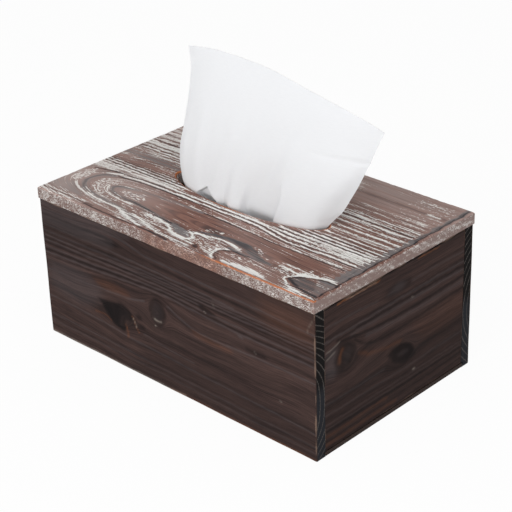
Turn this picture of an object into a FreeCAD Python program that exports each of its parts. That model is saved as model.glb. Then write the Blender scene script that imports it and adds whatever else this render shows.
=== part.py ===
"""Tissue box cover: six plain boards round a flat box of tissues, with an oval slot in the lid.

The front and back boards run the full length and cover the ends of the two end boards. Brads
hold these butt joints and the lid, and their heads are set below the face and filled. A thin
base panel with bevelled edges slides out under the right end board, to load the box. A tissue
stands in the slot.

X runs along the length, Y to the back and Z up. The origin is under the middle of the box.
"""
import FreeCAD, Part
import enum
import math
import os

import Sketcher

V = FreeCAD.Vector

# Driving sizes in millimetres, and counts: alias, value, meaning
SIZES = (
    ("box_length", 260.0, "walls, over all, along X"),
    ("box_depth", 162.0, "walls, over all, along Y"),
    ("wall_height", 108.5, "front and back boards"),
    ("side_thickness", 9.0, "front and back boards"),
    ("end_thickness", 9.0, "end boards"),
    ("end_shortfall", 0.6, "end boards stop this far under the lid"),
    ("arris_radius", 0.8, "eased outer edges of the walls"),
    ("lid_thickness", 9.0, "lid board"),
    ("lid_overhang", 0.4, "lid past the walls, on each side"),
    ("lid_arris_radius", 1.3, "eased edges of the lid"),
    ("slot_length", 141.0, "oval slot, along X"),
    ("slot_width", 39.0, "oval slot, along Y"),
    ("slot_arris_radius", 0.9, "eased rim of the slot"),
    ("panel_thickness", 3.0, "base panel"),
    ("panel_recess", 0.2, "base panel above the foot of the walls"),
    ("panel_headroom", 0.5, "clear space over the base panel"),
    ("panel_side_clearance", 0.3, "base panel to each groove"),
    ("panel_stop_clearance", 0.4, "base panel to the left end board"),
    ("panel_land", 0.9, "upright part of the panel's long edges"),
    ("panel_bevel", 2.0, "reach of each groove into its board"),
    ("thumb_length", 34.0, "thumb groove under the panel, along Y"),
    ("thumb_width", 9.0, "thumb groove, along X"),
    ("thumb_depth", 1.2, "thumb groove"),
    ("thumb_inset", 10.0, "thumb groove from the panel's right end"),
    ("brad_length", 25.0, "brads, over all"),
    ("brad_diameter", 1.2, "brad shank"),
    ("brad_head_diameter", 2.0, "brad head"),
    ("brad_head_height", 0.7, "brad head"),
    ("brad_point_length", 2.4, "brad point"),
    ("brad_set", 0.8, "head below the face, under the filler"),
    ("brad_fit", 0.02, "clear space round a brad"),
    ("corner_brads", 3, "brads up each corner joint"),
    ("corner_brad_margin", 18.0, "outer corner brads from the edges of the wall"),
    ("lid_brads", 4, "lid brads along each side"),
    ("lid_brad_margin", 26.0, "outer lid brads from the ends of the wall"),
    ("tissue_thickness", 1.0, "soft solid of the tissue"),
    ("tissue_rim_clearance", 0.4, "tissue to the wall of the slot"),
    ("tissue_tail", 22.0, "tissue below the lid"),
    ("tissue_rise", 99.0, "left top corner of the tissue above the lid"),
    ("tissue_fall", 19.5, "right top corner below the left one"),
    ("tissue_crown", 11.0, "bow of the top edge above the line between its corners"),
    ("tissue_left", 54.5, "left top corner from the middle of the slot"),
    ("tissue_right", 116.5, "right top corner from the middle of the slot"),
    ("tissue_swell", 16.0, "how far the tissue swells to the front above the lid"),
    ("cut_overrun", 1.0, "cutting outlines past the face that they open"),
)

# The tissue's folds, by hand: rows from the tail to the top edge, columns from left to right
COLUMN_SHARES = (0.0, 0.065, 0.13, 0.20, 0.29, 0.35, 0.41, 0.47, 0.53, 0.61, 0.69, 0.715, 0.74, 0.87, 1.0)
SLOT_REACH_SHARES = (0.805, 0.974)
ROW_HEIGHT_SHARES = (0.16, 0.48, 0.74, 1.0)
LEFT_EDGE_SHARES = (1.06, 0.96, 0.93, 1.0)
RIGHT_EDGE_SHARES = (0.24, 0.55, 0.78, 1.0)
CROWN_PEAK_SHARE = 0.43
SLOT_FOLD_SHARES = (
    (-0.50, -0.62, -0.66, -0.48, -0.62, -0.52, -0.62, -0.50, -0.24, -0.12, -0.24, -0.42, -0.62, -0.55, 0.15),
    (-0.79, -0.93, -0.96, -0.64, -0.94, -0.79, -0.92, -0.76, -0.32, -0.22, -0.35, -0.64, -0.94, -0.88, 0.30),
)
UPPER_SWELL_SHARES = (
    (-0.62, -0.86, -0.97, -1.00, -1.01, -0.90, -1.00, -0.86, -0.53, -0.45, -0.56, -0.75, -0.94, -0.64, 0.26),
    (-0.54, -0.72, -0.81, -0.83, -0.83, -0.80, -0.79, -0.74, -0.69, -0.68, -0.74, -0.75, -0.76, -0.49, 0.25),
    (-0.22, -0.41, -0.50, -0.54, -0.55, -0.53, -0.51, -0.48, -0.46, -0.45, -0.44, -0.43, -0.42, -0.20, 0.24),
    (0.06, -0.05, -0.12, -0.15, -0.16, -0.15, -0.14, -0.13, -0.13, -0.12, -0.11, -0.10, -0.09, -0.01, 0.14),
)

# A row of the tissue counts as straight if it bows less than this share of its chord
STRAIGHT_SHARE = 0.0001

# A board has a row of brads at each of its two sides
SIDE_COUNT = 2

# Two places closer than this share of the box's length are the same
SAME_PLACE_SHARE = 1e-8

doc = FreeCAD.newDocument("tissue_box_cover")
sheet = doc.addObject("Spreadsheet::Sheet", "Sizes")
for row, (alias, value, meaning) in enumerate(SIZES, start=1):
    sheet.set(f"A{row}", meaning)
    sheet.set(f"B{row}", str(value))
    sheet.setAlias(f"B{row}", alias)
doc.recompute()


class Point(enum.IntEnum):
    """Points of a sketch's geometry, as the sketcher numbers them."""

    START = enum.auto()
    END = enum.auto()
    CENTRE = enum.auto()


class Axis(enum.IntEnum):
    """Axes of a sketch, as the sketcher numbers them. Each starts at the sketch's origin."""

    HORIZONTAL = -1


class Size:
    """A length worked out from the sheet: its value, and the expression that binds it."""

    def __init__(self, value, text):
        self.value = value
        self.text = text

    def __add__(self, other):
        return Size(self.value + other.value, f"({self.text} + {other.text})")

    def __sub__(self, other):
        return Size(self.value - other.value, f"({self.text} - {other.text})")

    def __mul__(self, factor):
        return Size(self.value * factor, f"({self.text} * {factor})")

    def __truediv__(self, factor):
        return Size(self.value / factor, f"({self.text} / {factor})")

    def __neg__(self):
        return Size(-self.value, f"(-{self.text})")


def cell(alias):
    """Return the size held in one cell of the sheet."""
    return Size(float(sheet.get(alias)), f"Sizes.{alias}")


ZERO = Size(0.0, "0")
length = cell("box_length")
same_place = length.value * SAME_PLACE_SHARE
depth = cell("box_depth")
height = cell("wall_height")
side = cell("side_thickness")
end = cell("end_thickness")
lid_thickness = cell("lid_thickness")
overhang = cell("lid_overhang")
overrun = cell("cut_overrun")
inner_depth = depth - side * 2
lid_top = height + lid_thickness
panel_floor = cell("panel_recess")
panel_top = panel_floor + cell("panel_thickness")
groove_top = panel_top + cell("panel_headroom")
panel_land_top = panel_floor + cell("panel_land")

# Brads: bores, depths and rows, shared by every board that a brad passes
brad_set = cell("brad_set")
shank_radius = cell("brad_diameter") / 2
head_radius = cell("brad_head_diameter") / 2
shank_bore = shank_radius + cell("brad_fit")
head_bore = head_radius + cell("brad_fit")
head_bore_depth = brad_set + cell("brad_head_height")
brad_reach = cell("brad_length") + brad_set + cell("brad_fit")
corner_count = int(sheet.get("corner_brads"))
corner_margin = cell("corner_brad_margin")
corner_pitch = (height - corner_margin * 2) / (corner_count - 1)
lid_count = int(sheet.get("lid_brads"))
lid_margin = cell("lid_brad_margin")
lid_pitch = (length - lid_margin * 2) / (lid_count - 1)


def bind(target, prop, size):
    """Bind a property of a document object to a size."""
    target.setExpression(prop, size.text)


def new_body(label, place, rotation=FreeCAD.Rotation()):
    """Add a body with its own label, placed by three sizes and a rotation."""
    body = doc.addObject("PartDesign::Body", label)
    body.Label = label
    body.Placement = FreeCAD.Placement(V(*(size.value for size in place)), rotation)
    for axis, size in zip("xyz", place):
        bind(body, f"Placement.Base.{axis}", size)
    return body


def sketch_on(body, name, role, offset=ZERO):
    """Add a sketch on one of the body's own origin planes, moved along that plane's normal."""
    sketch = body.newObject("Sketcher::SketchObject", f"{body.Label}_{name}")
    plane = next(item for item in body.Origin.OriginFeatures if item.Role == role)
    sketch.AttachmentSupport = [(plane, "")]
    sketch.MapMode = "FlatFace"
    bind(sketch, "AttachmentOffset.Base.z", offset)
    return sketch


def hold(sketch, kind, geometry, point, size):
    """Hold a point of a sketch at a distance from the sketch's origin."""
    constraint = Sketcher.Constraint(kind, Axis.HORIZONTAL, Point.START, geometry, point, size.value)
    number = sketch.addConstraint(constraint)
    sketch.setExpression(f"Constraints[{number}]", size.text)


def polygon(sketch, points):
    """Draw a closed outline of straight lines through points given as pairs of sizes."""
    corners = [V(x.value, y.value, 0) for x, y in points]
    count = len(corners)
    for number, corner in enumerate(corners):
        sketch.addGeometry(Part.LineSegment(corner, corners[(number + 1) % count]), False)
    for number, (x, y) in enumerate(points):
        following = (number + 1) % count
        sketch.addConstraint(Sketcher.Constraint("Coincident", number, Point.END, following, Point.START))
        hold(sketch, "DistanceX", number, Point.START, x)
        hold(sketch, "DistanceY", number, Point.START, y)


def rectangle(sketch, width, tall):
    """Draw a rectangle with one corner on the sketch's origin."""
    polygon(sketch, ((ZERO, ZERO), (width, ZERO), (width, tall), (ZERO, tall)))


def circles(sketch, radius, centres):
    """Draw equal circles round centres given as pairs of sizes."""
    for x, y in centres:
        number = sketch.addGeometry(Part.Circle(V(x.value, y.value, 0), V(0, 0, 1), radius.value), False)
        hold(sketch, "DistanceX", number, Point.CENTRE, x)
        hold(sketch, "DistanceY", number, Point.CENTRE, y)
        constraint = sketch.addConstraint(Sketcher.Constraint("Radius", number, radius.value))
        sketch.setExpression(f"Constraints[{constraint}]", radius.text)


def pad(body, sketch, size, reverse=False):
    """Pad a sketch by a size."""
    feature = body.newObject("PartDesign::Pad", f"{sketch.Name}_pad")
    feature.Profile = sketch
    feature.Reversed = reverse
    bind(feature, "Length", size)
    return feature


def pocket(body, sketch, size, reverse=False):
    """Cut a sketch to a depth and make sure that the cut took material away."""
    doc.recompute()
    before = body.Tip.Shape.Volume
    feature = body.newObject("PartDesign::Pocket", f"{sketch.Name}_cut")
    feature.Profile = sketch
    feature.Reversed = reverse
    bind(feature, "Length", size)
    doc.recompute()
    if feature.Shape.Volume >= before:
        raise RuntimeError(f"{feature.Name} cuts nothing")
    return feature


def ease(body, radius, wanted):
    """Round the edges of the body's last feature that a test picks."""
    doc.recompute()
    base = body.Tip
    names = [f"Edge{number}" for number, edge in enumerate(base.Shape.Edges, start=1) if wanted(edge)]
    feature = body.newObject("PartDesign::Fillet", f"{base.Name}_eased")
    feature.Base = (base, names)
    bind(feature, "Radius", radius)
    return feature


def lies_at(axis, place):
    """Return a test for the straight edges that lie wholly at one place along an axis."""
    def test(edge):
        return all(abs(getattr(corner.Point, axis) - place.value) < same_place for corner in edge.Vertexes)
    return test


def grid(first, pitches, counts):
    """Return the centres of a grid of places, as pairs of sizes."""
    return [
        (first[0] + pitches[0] * column, first[1] + pitches[1] * line)
        for column in range(counts[0])
        for line in range(counts[1])
    ]


def spread(body, feature, spans, counts):
    """Repeat a feature over a grid along the body's own X and Y axes."""
    pattern = body.newObject("PartDesign::LinearPattern", f"{body.Label}_grid")
    pattern.Originals = [feature]
    axes = {item.Role: item for item in body.Origin.OriginFeatures}
    pattern.Direction = (axes["X_Axis"], [""])
    pattern.Direction2 = (axes["Y_Axis"], [""])
    bind(pattern, "Length", spans[0])
    bind(pattern, "Length2", spans[1])
    pattern.Occurrences = counts[0]
    pattern.Occurrences2 = counts[1]
    body.Tip = pattern
    return pattern


def side_board(label, place, rotation, groove_start):
    """Build the front or back board, its outer face on the body's XZ plane.

    A stopped groove for the base panel runs along the foot of the inner face, open at the
    right end of the box.
    """
    body = new_body(label, place, rotation)
    outline = sketch_on(body, "outline", "XZ_Plane")
    rectangle(outline, length, height)
    pad(body, outline, side, reverse=True)
    ease(body, cell("arris_radius"), lies_at("y", ZERO))

    groove = sketch_on(body, "groove", "YZ_Plane", groove_start)
    roof = side - cell("panel_bevel")
    polygon(groove, (
        (side + overrun, panel_land_top),
        (side, panel_land_top),
        (roof, panel_top),
        (roof, groove_top),
        (side + overrun, groove_top),
    ))
    pocket(body, groove, length - end, reverse=True)

    columns = (end / 2, corner_margin)
    places = grid(columns, (length - end, corner_pitch), (2, corner_count))
    for name, radius, reach in (("shank", shank_bore, side), ("head", head_bore, head_bore_depth)):
        bores = sketch_on(body, f"{name}_bores", "XZ_Plane")
        circles(bores, radius, places)
        pocket(body, bores, reach)

    pilots = sketch_on(body, "lid_pilots", "XY_Plane", height)
    circles(pilots, shank_bore, grid((lid_margin, side / 2), (lid_pitch, ZERO), (lid_count, 1)))
    pocket(body, pilots, brad_reach - lid_thickness)
    return body


def end_board(label, place, foot, outer):
    """Build an end board that stands between the side boards, from its foot to just below the lid."""
    body = new_body(label, place)
    outline = sketch_on(body, "outline", "YZ_Plane")
    tall = height - cell("end_shortfall") - foot
    rectangle(outline, inner_depth, tall)
    pad(body, outline, end)
    on_outer_face = lies_at("x", outer)
    ease(body, cell("arris_radius"), lambda edge: on_outer_face(edge) and edge.BoundBox.ZLength < same_place)

    places = grid((end / 2, corner_margin - foot), (ZERO, corner_pitch), (1, corner_count))
    for name, offset, reverse in (("front", ZERO, False), ("back", -inner_depth, True)):
        pilots = sketch_on(body, f"{name}_pilots", "XZ_Plane", offset)
        circles(pilots, shank_bore, places)
        pocket(body, pilots, brad_reach - side, reverse)
    return body


def lid_board():
    """Build the lid with its oval slot, eased edges and brad bores."""
    body = new_body("lid_board", (-length / 2 - overhang, -depth / 2 - overhang, height))
    lid_length = length + overhang * 2
    lid_depth = depth + overhang * 2
    outline = sketch_on(body, "outline", "XY_Plane")
    rectangle(outline, lid_length, lid_depth)
    pad(body, outline, lid_thickness)
    ease(body, cell("lid_arris_radius"), lambda edge: True)

    slot = sketch_on(body, "slot", "XY_Plane", lid_thickness)
    half_length = cell("slot_length") / 2
    half_width = cell("slot_width") / 2
    middle = V(lid_length.value / 2, lid_depth.value / 2, 0)
    ellipse = Part.Ellipse(middle + V(half_length.value, 0, 0), middle + V(0, half_width.value, 0), middle)
    oval = slot.addGeometry(ellipse, False)
    slot.exposeInternalGeometry(oval)
    major, minor = oval + 1, oval + 2
    hold(slot, "DistanceX", oval, Point.CENTRE, lid_length / 2)
    hold(slot, "DistanceY", oval, Point.CENTRE, lid_depth / 2)
    slot.addConstraint(Sketcher.Constraint("Horizontal", major))
    for line, span in ((major, cell("slot_length")), (minor, cell("slot_width"))):
        ends = (line, Point.START, line, Point.END)
        number = slot.addConstraint(Sketcher.Constraint("Distance", *ends, span.value))
        slot.setExpression(f"Constraints[{number}]", span.text)
    pocket(body, slot, lid_thickness)
    rim_length = cell("slot_length").value
    ease(body, cell("slot_arris_radius"), lambda edge: edge.isClosed() and edge.Length > rim_length)

    first = (overhang + lid_margin, overhang + side / 2)
    places = grid(first, (lid_pitch, depth - side), (lid_count, 2))
    for name, radius, reach in (("shank", shank_bore, lid_thickness), ("head", head_bore, head_bore_depth)):
        bores = sketch_on(body, f"{name}_bores", "XY_Plane", lid_thickness)
        circles(bores, radius, places)
        pocket(body, bores, reach)
    return body


def base_panel():
    """Build the sliding base panel, with bevelled long edges and a thumb groove underneath."""
    left = end + cell("panel_stop_clearance")
    panel_length = length - left
    body = new_body("base_panel", (-length / 2 + left, -inner_depth / 2, ZERO))
    near = cell("panel_side_clearance")
    wing = near - cell("panel_bevel")
    profile = sketch_on(body, "profile", "YZ_Plane")
    polygon(profile, (
        (near, panel_floor),
        (inner_depth - near, panel_floor),
        (inner_depth - near, panel_land_top),
        (inner_depth - wing, panel_top),
        (wing, panel_top),
        (near, panel_land_top),
    ))
    pad(body, profile, panel_length)

    thumb = sketch_on(body, "thumb", "XY_Plane", panel_floor)
    right = panel_length - cell("thumb_inset")
    low = inner_depth / 2 - cell("thumb_length") / 2
    high = inner_depth / 2 + cell("thumb_length") / 2
    far = right - cell("thumb_width")
    polygon(thumb, ((far, low), (right, low), (right, high), (far, high)))
    pocket(body, thumb, cell("thumb_depth"), reverse=True)
    return body


def brad_group(label, place, rotation, spans, counts):
    """Build a grid of brads, heads on the body's XY plane and points along its Z axis."""
    body = new_body(label, place, rotation)
    profile = sketch_on(body, "profile", "XZ_Plane")
    head = cell("brad_head_height")
    tip = cell("brad_length")
    polygon(profile, (
        (ZERO, ZERO),
        (head_radius, ZERO),
        (head_radius, head),
        (shank_radius, head),
        (shank_radius, tip - cell("brad_point_length")),
        (ZERO, tip),
    ))
    turned = body.newObject("PartDesign::Revolution", f"{label}_turned")
    turned.Profile = profile
    turned.ReferenceAxis = (profile, ["V_Axis"])
    spread(body, turned, spans, counts)
    return body


def filler_group(label, place, rotation, spans, counts):
    """Build a grid of fillers, outer faces on the body's XY plane and inner faces on the brad heads."""
    body = new_body(label, place, rotation)
    disc = sketch_on(body, "disc", "XY_Plane")
    circles(disc, head_radius, ((ZERO, ZERO),))
    spread(body, pad(body, disc, brad_set), spans, counts)
    return body


def tissue_trace(left, right, level, folds):
    """Return the points of one row of the tissue's front face.

    Args:
        left, right: X of the row's ends.
        level: function of a column's share that gives its Z.
        folds: function of a column's number and X that gives its Y.
    """
    points = []
    for number, share in enumerate(COLUMN_SHARES):
        x = left + (right - left) * share
        points.append(V(x, folds(number, x), level(share)))
    return points


def tissue_rows():
    """Return the rows of the tissue's front face, from the tail up to the top edge."""
    gap = sheet.get("tissue_rim_clearance")
    half_length = sheet.get("slot_length") / 2 - gap
    half_width = sheet.get("slot_width") / 2 - gap
    slot_left, slot_right = (half_length * share for share in SLOT_REACH_SHARES)
    half_thickness = sheet.get("tissue_thickness") / 2
    rows = []

    tail = height.value - sheet.get("tissue_tail")
    for z, shares in zip((tail, lid_top.value), SLOT_FOLD_SHARES):

        def level(share, z=z):
            return z

        def folds(number, x, shares=shares):
            return shares[number] * half_width * math.sqrt(1 - (x / half_length) ** 2)

        rows.append(tissue_trace(-slot_left, slot_right, level, folds))

    edges = zip(ROW_HEIGHT_SHARES, LEFT_EDGE_SHARES, RIGHT_EDGE_SHARES, UPPER_SWELL_SHARES)
    for rise, left_share, right_share, shares in edges:
        left = -sheet.get("tissue_left") * left_share
        right = slot_right + (sheet.get("tissue_right") - slot_right) * right_share

        def level(share, rise=rise):
            peak = CROWN_PEAK_SHARE
            bow = 1 - ((share - peak) / (peak if share < peak else 1 - peak)) ** 2
            top = sheet.get("tissue_rise") - sheet.get("tissue_fall") * share
            return lid_top.value + rise * top + rise ** 3 * sheet.get("tissue_crown") * bow

        def folds(number, x, shares=shares):
            return shares[number] * sheet.get("tissue_swell") - half_thickness

        rows.append(tissue_trace(left, right, level, folds))
    return rows


def row_edges(points):
    """Return one row's edges: an arc over each pair of neighbouring spans, or a line if they are straight."""
    edges = []
    for first, middle, last in zip(points[0::2], points[1::2], points[2::2]):
        chord = last - first
        if (middle - first).cross(chord).Length < STRAIGHT_SHARE * chord.Length ** 2:
            edges.append(Part.LineSegment(first, last).toShape())
        else:
            edges.append(Part.Arc(first, middle, last).toShape())
    return edges


def tissue_sheet():
    """Build the tissue as one closed solid of ruled faces between its rows, front and back."""
    through = V(0, sheet.get("tissue_thickness"), 0)
    front = tissue_rows()
    back = [[point + through for point in row] for row in front]
    front_edges = [row_edges(row) for row in front]
    back_edges = [row_edges(row) for row in back]
    faces = []
    for edges in (front_edges, back_edges):
        for low, high in zip(edges, edges[1:]):
            faces += [Part.makeRuledSurface(a, b) for a, b in zip(low, high)]
    for row in (0, -1):
        faces += [Part.makeRuledSurface(a, b) for a, b in zip(front_edges[row], back_edges[row])]
    for column in (0, -1):
        for low, high in zip(range(len(front)), range(1, len(front))):
            bottom = Part.LineSegment(front[low][column], back[low][column]).toShape()
            top = Part.LineSegment(front[high][column], back[high][column]).toShape()
            faces.append(Part.makeRuledSurface(bottom, top))
    shell = Part.makeShell(faces)
    shell.sewShape()
    solid = Part.makeSolid(shell)
    if solid.Volume < 0:
        solid.reverse()
    feature = doc.addObject("Part::Feature", "tissue_sheet")
    feature.Label = "tissue_sheet"
    feature.Shape = solid
    feature.Placement = FreeCAD.Placement()
    return feature


half_turn = FreeCAD.Rotation(V(0, 0, 1), 180)
into_front = FreeCAD.Rotation(V(1, 0, 0), -90)
into_back = half_turn.multiply(into_front)
into_lid = FreeCAD.Rotation(V(1, 0, 0), 180)

corner_spans = (length - end, height - corner_margin * 2)
corner_counts = (SIDE_COUNT, corner_count)
corner_x = (length - end) / 2
corner_z = height - corner_margin
front_head = (-corner_x, brad_set - depth / 2, corner_z)
back_head = (corner_x, depth / 2 - brad_set, corner_z)
lid_spans = (length - lid_margin * 2, depth - side)
lid_counts = (lid_count, SIDE_COUNT)
lid_x = lid_margin - length / 2
lid_y = (depth - side) / 2

nodes = [
    side_board("front_board", (-length / 2, -depth / 2, ZERO), FreeCAD.Rotation(), end),
    side_board("back_board", (length / 2, depth / 2, ZERO), half_turn, ZERO),
    end_board("left_end_board", (-length / 2, -inner_depth / 2, ZERO), ZERO, ZERO),
    end_board("right_end_board", (length / 2 - end, -inner_depth / 2, groove_top), groove_top, end),
    lid_board(),
    base_panel(),
    brad_group("front_brads", front_head, into_front, corner_spans, corner_counts),
    brad_group("back_brads", back_head, into_back, corner_spans, corner_counts),
    brad_group("lid_brads", (lid_x, lid_y, lid_top - brad_set), into_lid, lid_spans, lid_counts),
    filler_group("front_fillers", (-corner_x, -depth / 2, corner_z), into_front, corner_spans, corner_counts),
    filler_group("back_fillers", (corner_x, depth / 2, corner_z), into_back, corner_spans, corner_counts),
    filler_group("lid_fillers", (lid_x, lid_y, lid_top), into_lid, lid_spans, lid_counts),
    tissue_sheet(),
]
doc.recompute()

for item in doc.Objects:
    if "Invalid" in item.State or "Error" in item.State:
        raise RuntimeError(f"{item.Label} failed: {item.State}")
for node in nodes:
    if node.Shape.isNull() or not node.Shape.isValid():
        raise RuntimeError(f"{node.Label} has no valid shape")

os.makedirs("parts", exist_ok=True)
for node in nodes:
    box = node.Shape.BoundBox
    print(f"{node.Label:16s} {len(node.Shape.Solids)} solids, {node.Shape.Volume:10.1f} mm3,",
          f"{box.XLength:.2f} x {box.YLength:.2f} x {box.ZLength:.2f} mm, foot at {box.ZMin:.2f} mm")
    node.Shape.exportStep(f"parts/{node.Label}.step")
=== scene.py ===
"""Looks of a rustic wooden tissue box cover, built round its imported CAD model.

Fields and guide points are in millimetres, as a maker would note them. Meshes are in metres, in the
frame of the CAD model: X along the box, Y to the back, Z up, origin under the middle.
"""

import enum
import logging
import math
from collections.abc import Sequence
from dataclasses import dataclass

import bpy
import numpy as np
from bpy.types import Material, NodeTree, Object
from bpy.types import NodeSocket as Socket
from mathutils import Matrix, Vector


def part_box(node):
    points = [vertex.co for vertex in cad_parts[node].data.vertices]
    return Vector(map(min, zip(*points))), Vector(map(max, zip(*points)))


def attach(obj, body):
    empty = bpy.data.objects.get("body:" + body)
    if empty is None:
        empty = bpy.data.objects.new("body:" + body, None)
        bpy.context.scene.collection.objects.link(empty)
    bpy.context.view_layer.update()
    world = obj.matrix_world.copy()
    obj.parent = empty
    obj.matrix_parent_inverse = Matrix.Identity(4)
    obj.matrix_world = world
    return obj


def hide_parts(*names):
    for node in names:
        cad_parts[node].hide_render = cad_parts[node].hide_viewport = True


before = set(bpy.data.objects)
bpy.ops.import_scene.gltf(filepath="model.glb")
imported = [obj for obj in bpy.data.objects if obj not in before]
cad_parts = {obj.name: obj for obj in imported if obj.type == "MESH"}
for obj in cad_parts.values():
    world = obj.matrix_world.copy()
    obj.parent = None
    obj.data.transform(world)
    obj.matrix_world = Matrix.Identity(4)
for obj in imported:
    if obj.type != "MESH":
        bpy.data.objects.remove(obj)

LOG = logging.getLogger("tissue_box_cover")
MM = 0.001
SHARP_ANGLE = math.radians(38)

# A length or share below which two places count as one
TINY = 1e-9
NEAR = 1e-6

Array = np.ndarray
Points = Sequence[tuple[float, ...]]
Size = tuple[float, float, float]
Number = Socket | float


class Axis(enum.IntEnum):
    """Axes of the frame."""

    X = 0
    Y = 1
    Z = 2


class Wall(enum.Enum):
    """Walls of the box: axis along the grain, axis through the board, and side of the outer face."""

    FRONT = (Axis.X, Axis.Y, -1)
    BACK = (Axis.X, Axis.Y, 1)
    LEFT = (Axis.Y, Axis.X, -1)
    RIGHT = (Axis.Y, Axis.X, 1)


# Numbers and lines


def linear(colour: str) -> tuple[float, float, float, float]:
    """Turn an sRGB hex colour into linear RGBA.

    Args:
        colour: six hex digits after a hash.

    Returns:
        Red, green, blue and full alpha.
    """
    shares = [int(colour[start : start + 2], 16) / 255 for start in (1, 3, 5)]
    curve = [share / 12.92 if share <= 0.04045 else ((share + 0.055) / 1.055) ** 2.4 for share in shares]
    return (*curve, 1.0)


def rise(values: Array, low: float, high: float) -> Array:
    """Rise smoothly from 0 at low to 1 at high."""
    share = np.clip((values - low) / (high - low), 0.0, 1.0)
    return share * share * (3.0 - 2.0 * share)


def follow(points: Points, at: Array) -> Array:
    """Read a smooth curve through given points.

    Args:
        points: pairs of place and value, places rising.
        at: places to read.

    Returns:
        The value at each place, held level past both ends.
    """
    places, values = np.array(points, float).T
    slopes = np.gradient(values, places)
    first = np.clip(np.searchsorted(places, at) - 1, 0, len(places) - 2)
    span = places[first + 1] - places[first]
    share = np.clip((at - places[first]) / span, 0.0, 1.0)
    rest = 1.0 - share
    start = rest * rest * ((1.0 + 2.0 * share) * values[first] + share * span * slopes[first])
    end = share * share * ((3.0 - 2.0 * share) * values[first + 1] - rest * span * slopes[first + 1])
    return start + end


def spline(points: Array, count: int) -> Array:
    """Draw a smooth line through points, the first axis of an array.

    Args:
        points: places to pass, of any shape after the first axis.
        count: places to return.

    Returns:
        Places at even steps from the first point to the last.
    """
    padded = np.concatenate((2 * points[:1] - points[1:2], points, 2 * points[-1:] - points[-2:-1]))
    steps = np.linspace(0.0, len(points) - 1.0, count)
    first = np.minimum(steps.astype(int), len(points) - 2)
    share = (steps - first).reshape((-1,) + (1,) * (points.ndim - 1))
    before, start, end, after = (padded[first + shift] for shift in range(4))
    linear_part = (end - before) * share
    square_part = (2 * before - 5 * start + 4 * end - after) * share**2
    cube_part = (3 * start - before - 3 * end + after) * share**3
    return start + 0.5 * (linear_part + square_part + cube_part)


def ripple(seed: int, lengths: Sequence[float], *places: Array) -> Array:
    """Add up sine waves of seeded direction and phase, to about plus or minus one.

    Args:
        seed: fixed seed of the directions.
        lengths: wave lengths, in the unit of the places.
        places: one array for each axis.

    Returns:
        One value for each place.
    """
    chance = np.random.default_rng(seed)
    total = np.zeros_like(places[0])
    for length in lengths:
        direction = chance.normal(size=len(places))
        direction /= np.linalg.norm(direction)
        phase = chance.uniform(0.0, 2.0 * math.pi)
        total += np.sin(2.0 * math.pi / length * sum(d * p for d, p in zip(direction, places)) + phase)
    return total / math.sqrt(len(lengths))


def distance_to(line: Array, x: Array, y: Array) -> Array:
    """Measure how far places in a plane lie from a line of straight runs.

    Args:
        line: points of the line, in order.
        x: first coordinate of each place.
        y: second coordinate of each place.

    Returns:
        The distance of each place.
    """
    nearest = np.full_like(x, np.inf)
    for start, end in zip(line[:-1], line[1:]):
        run = end - start
        share = ((x - start[0]) * run[0] + (y - start[1]) * run[1]) / max(float(run @ run), TINY)
        share = np.clip(share, 0.0, 1.0)
        gap_x, gap_y = x - start[0] - share * run[0], y - start[1] - share * run[1]
        nearest = np.minimum(nearest, np.hypot(gap_x, gap_y))
    return nearest


def inside(outline: Array, x: Array, y: Array) -> Array:
    """Tell which places in a plane lie inside a closed outline.

    Args:
        outline: corners in order.
        x: first coordinate of each place.
        y: second coordinate of each place.

    Returns:
        True for each place inside.
    """
    found = np.zeros(x.shape, bool)
    for start, end in zip(outline, np.roll(outline, -1, axis=0)):
        if start[1] == end[1]:
            continue
        crosses = (start[1] > y) != (end[1] > y)
        found ^= crosses & (x < (end[0] - start[0]) * (y - start[1]) / (end[1] - start[1]) + start[0])
    return found


# Points of a smooth line for each guide point, and how far a stroke reaches in half widths
LINE_DETAIL = 6
STROKE_REACH = 2.5
# How far an unsteady hand strays along and across the grain, and over which lengths
STRAY_ALONG = 0.5
STRAY_ALONG_LENGTHS = (14.0, 8.0)
STRAY_ACROSS = 0.22
STRAY_ACROSS_LENGTHS = (17.0, 9.0, 5.0)
# How much a stroke hides of what lies under it
HIDING = 0.8
# White wash frays into flecks beside its lines
HALO_SHARE = 0.5
HALO_SPREAD = 3.0


class Tint(enum.Enum):
    """What a stroke lays on the wood; the value names the attribute that carries it."""

    CHAR = "char"
    ASH = "ash"
    BARE = "bare"
    PALE = "pale"
    WASH = "wash"


CHAR, ASH, BARE, PALE, WASH = Tint


@dataclass(frozen=True)
class Stroke:
    """One mark of the figure: strength, half width, guide points on the face, and if it is filled."""

    tint: Tint
    share: float
    half_width: float
    points: Points
    filled: bool = False

    def cover(self, x: Array, y: Array, spread: float = 1.0) -> Array:
        """Work out how strongly the stroke covers places on the face.

        Args:
            x: places along the face.
            y: places across it.
            spread: factor on the stroke's width.

        Returns:
            A share from 0 to 1 for each place.
        """
        corners = np.array((*self.points, self.points[0]) if self.filled else self.points, float)
        line = spline(corners, LINE_DETAIL * len(corners))
        wide = spread * self.half_width
        reach = STROKE_REACH * wide
        low, high = line.min(axis=0) - reach, line.max(axis=0) + reach
        near = (x > low[0]) & (x < high[0]) & (y > low[1]) & (y < high[1])
        away = distance_to(line, x[near], y[near])
        share = np.zeros_like(x)
        if self.filled:
            signed = np.where(inside(line, x[near], y[near]), away, -away)
            share[near] = rise(signed, -wide, wide)
        else:
            share[near] = np.exp(-((away / wide) ** 2))
        return share


def trail(tint: Tint, share: float, half_width: float, *points: tuple[float, float]) -> Stroke:
    """Make a stroke along a line of guide points."""
    return Stroke(tint, share, half_width, points)


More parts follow.
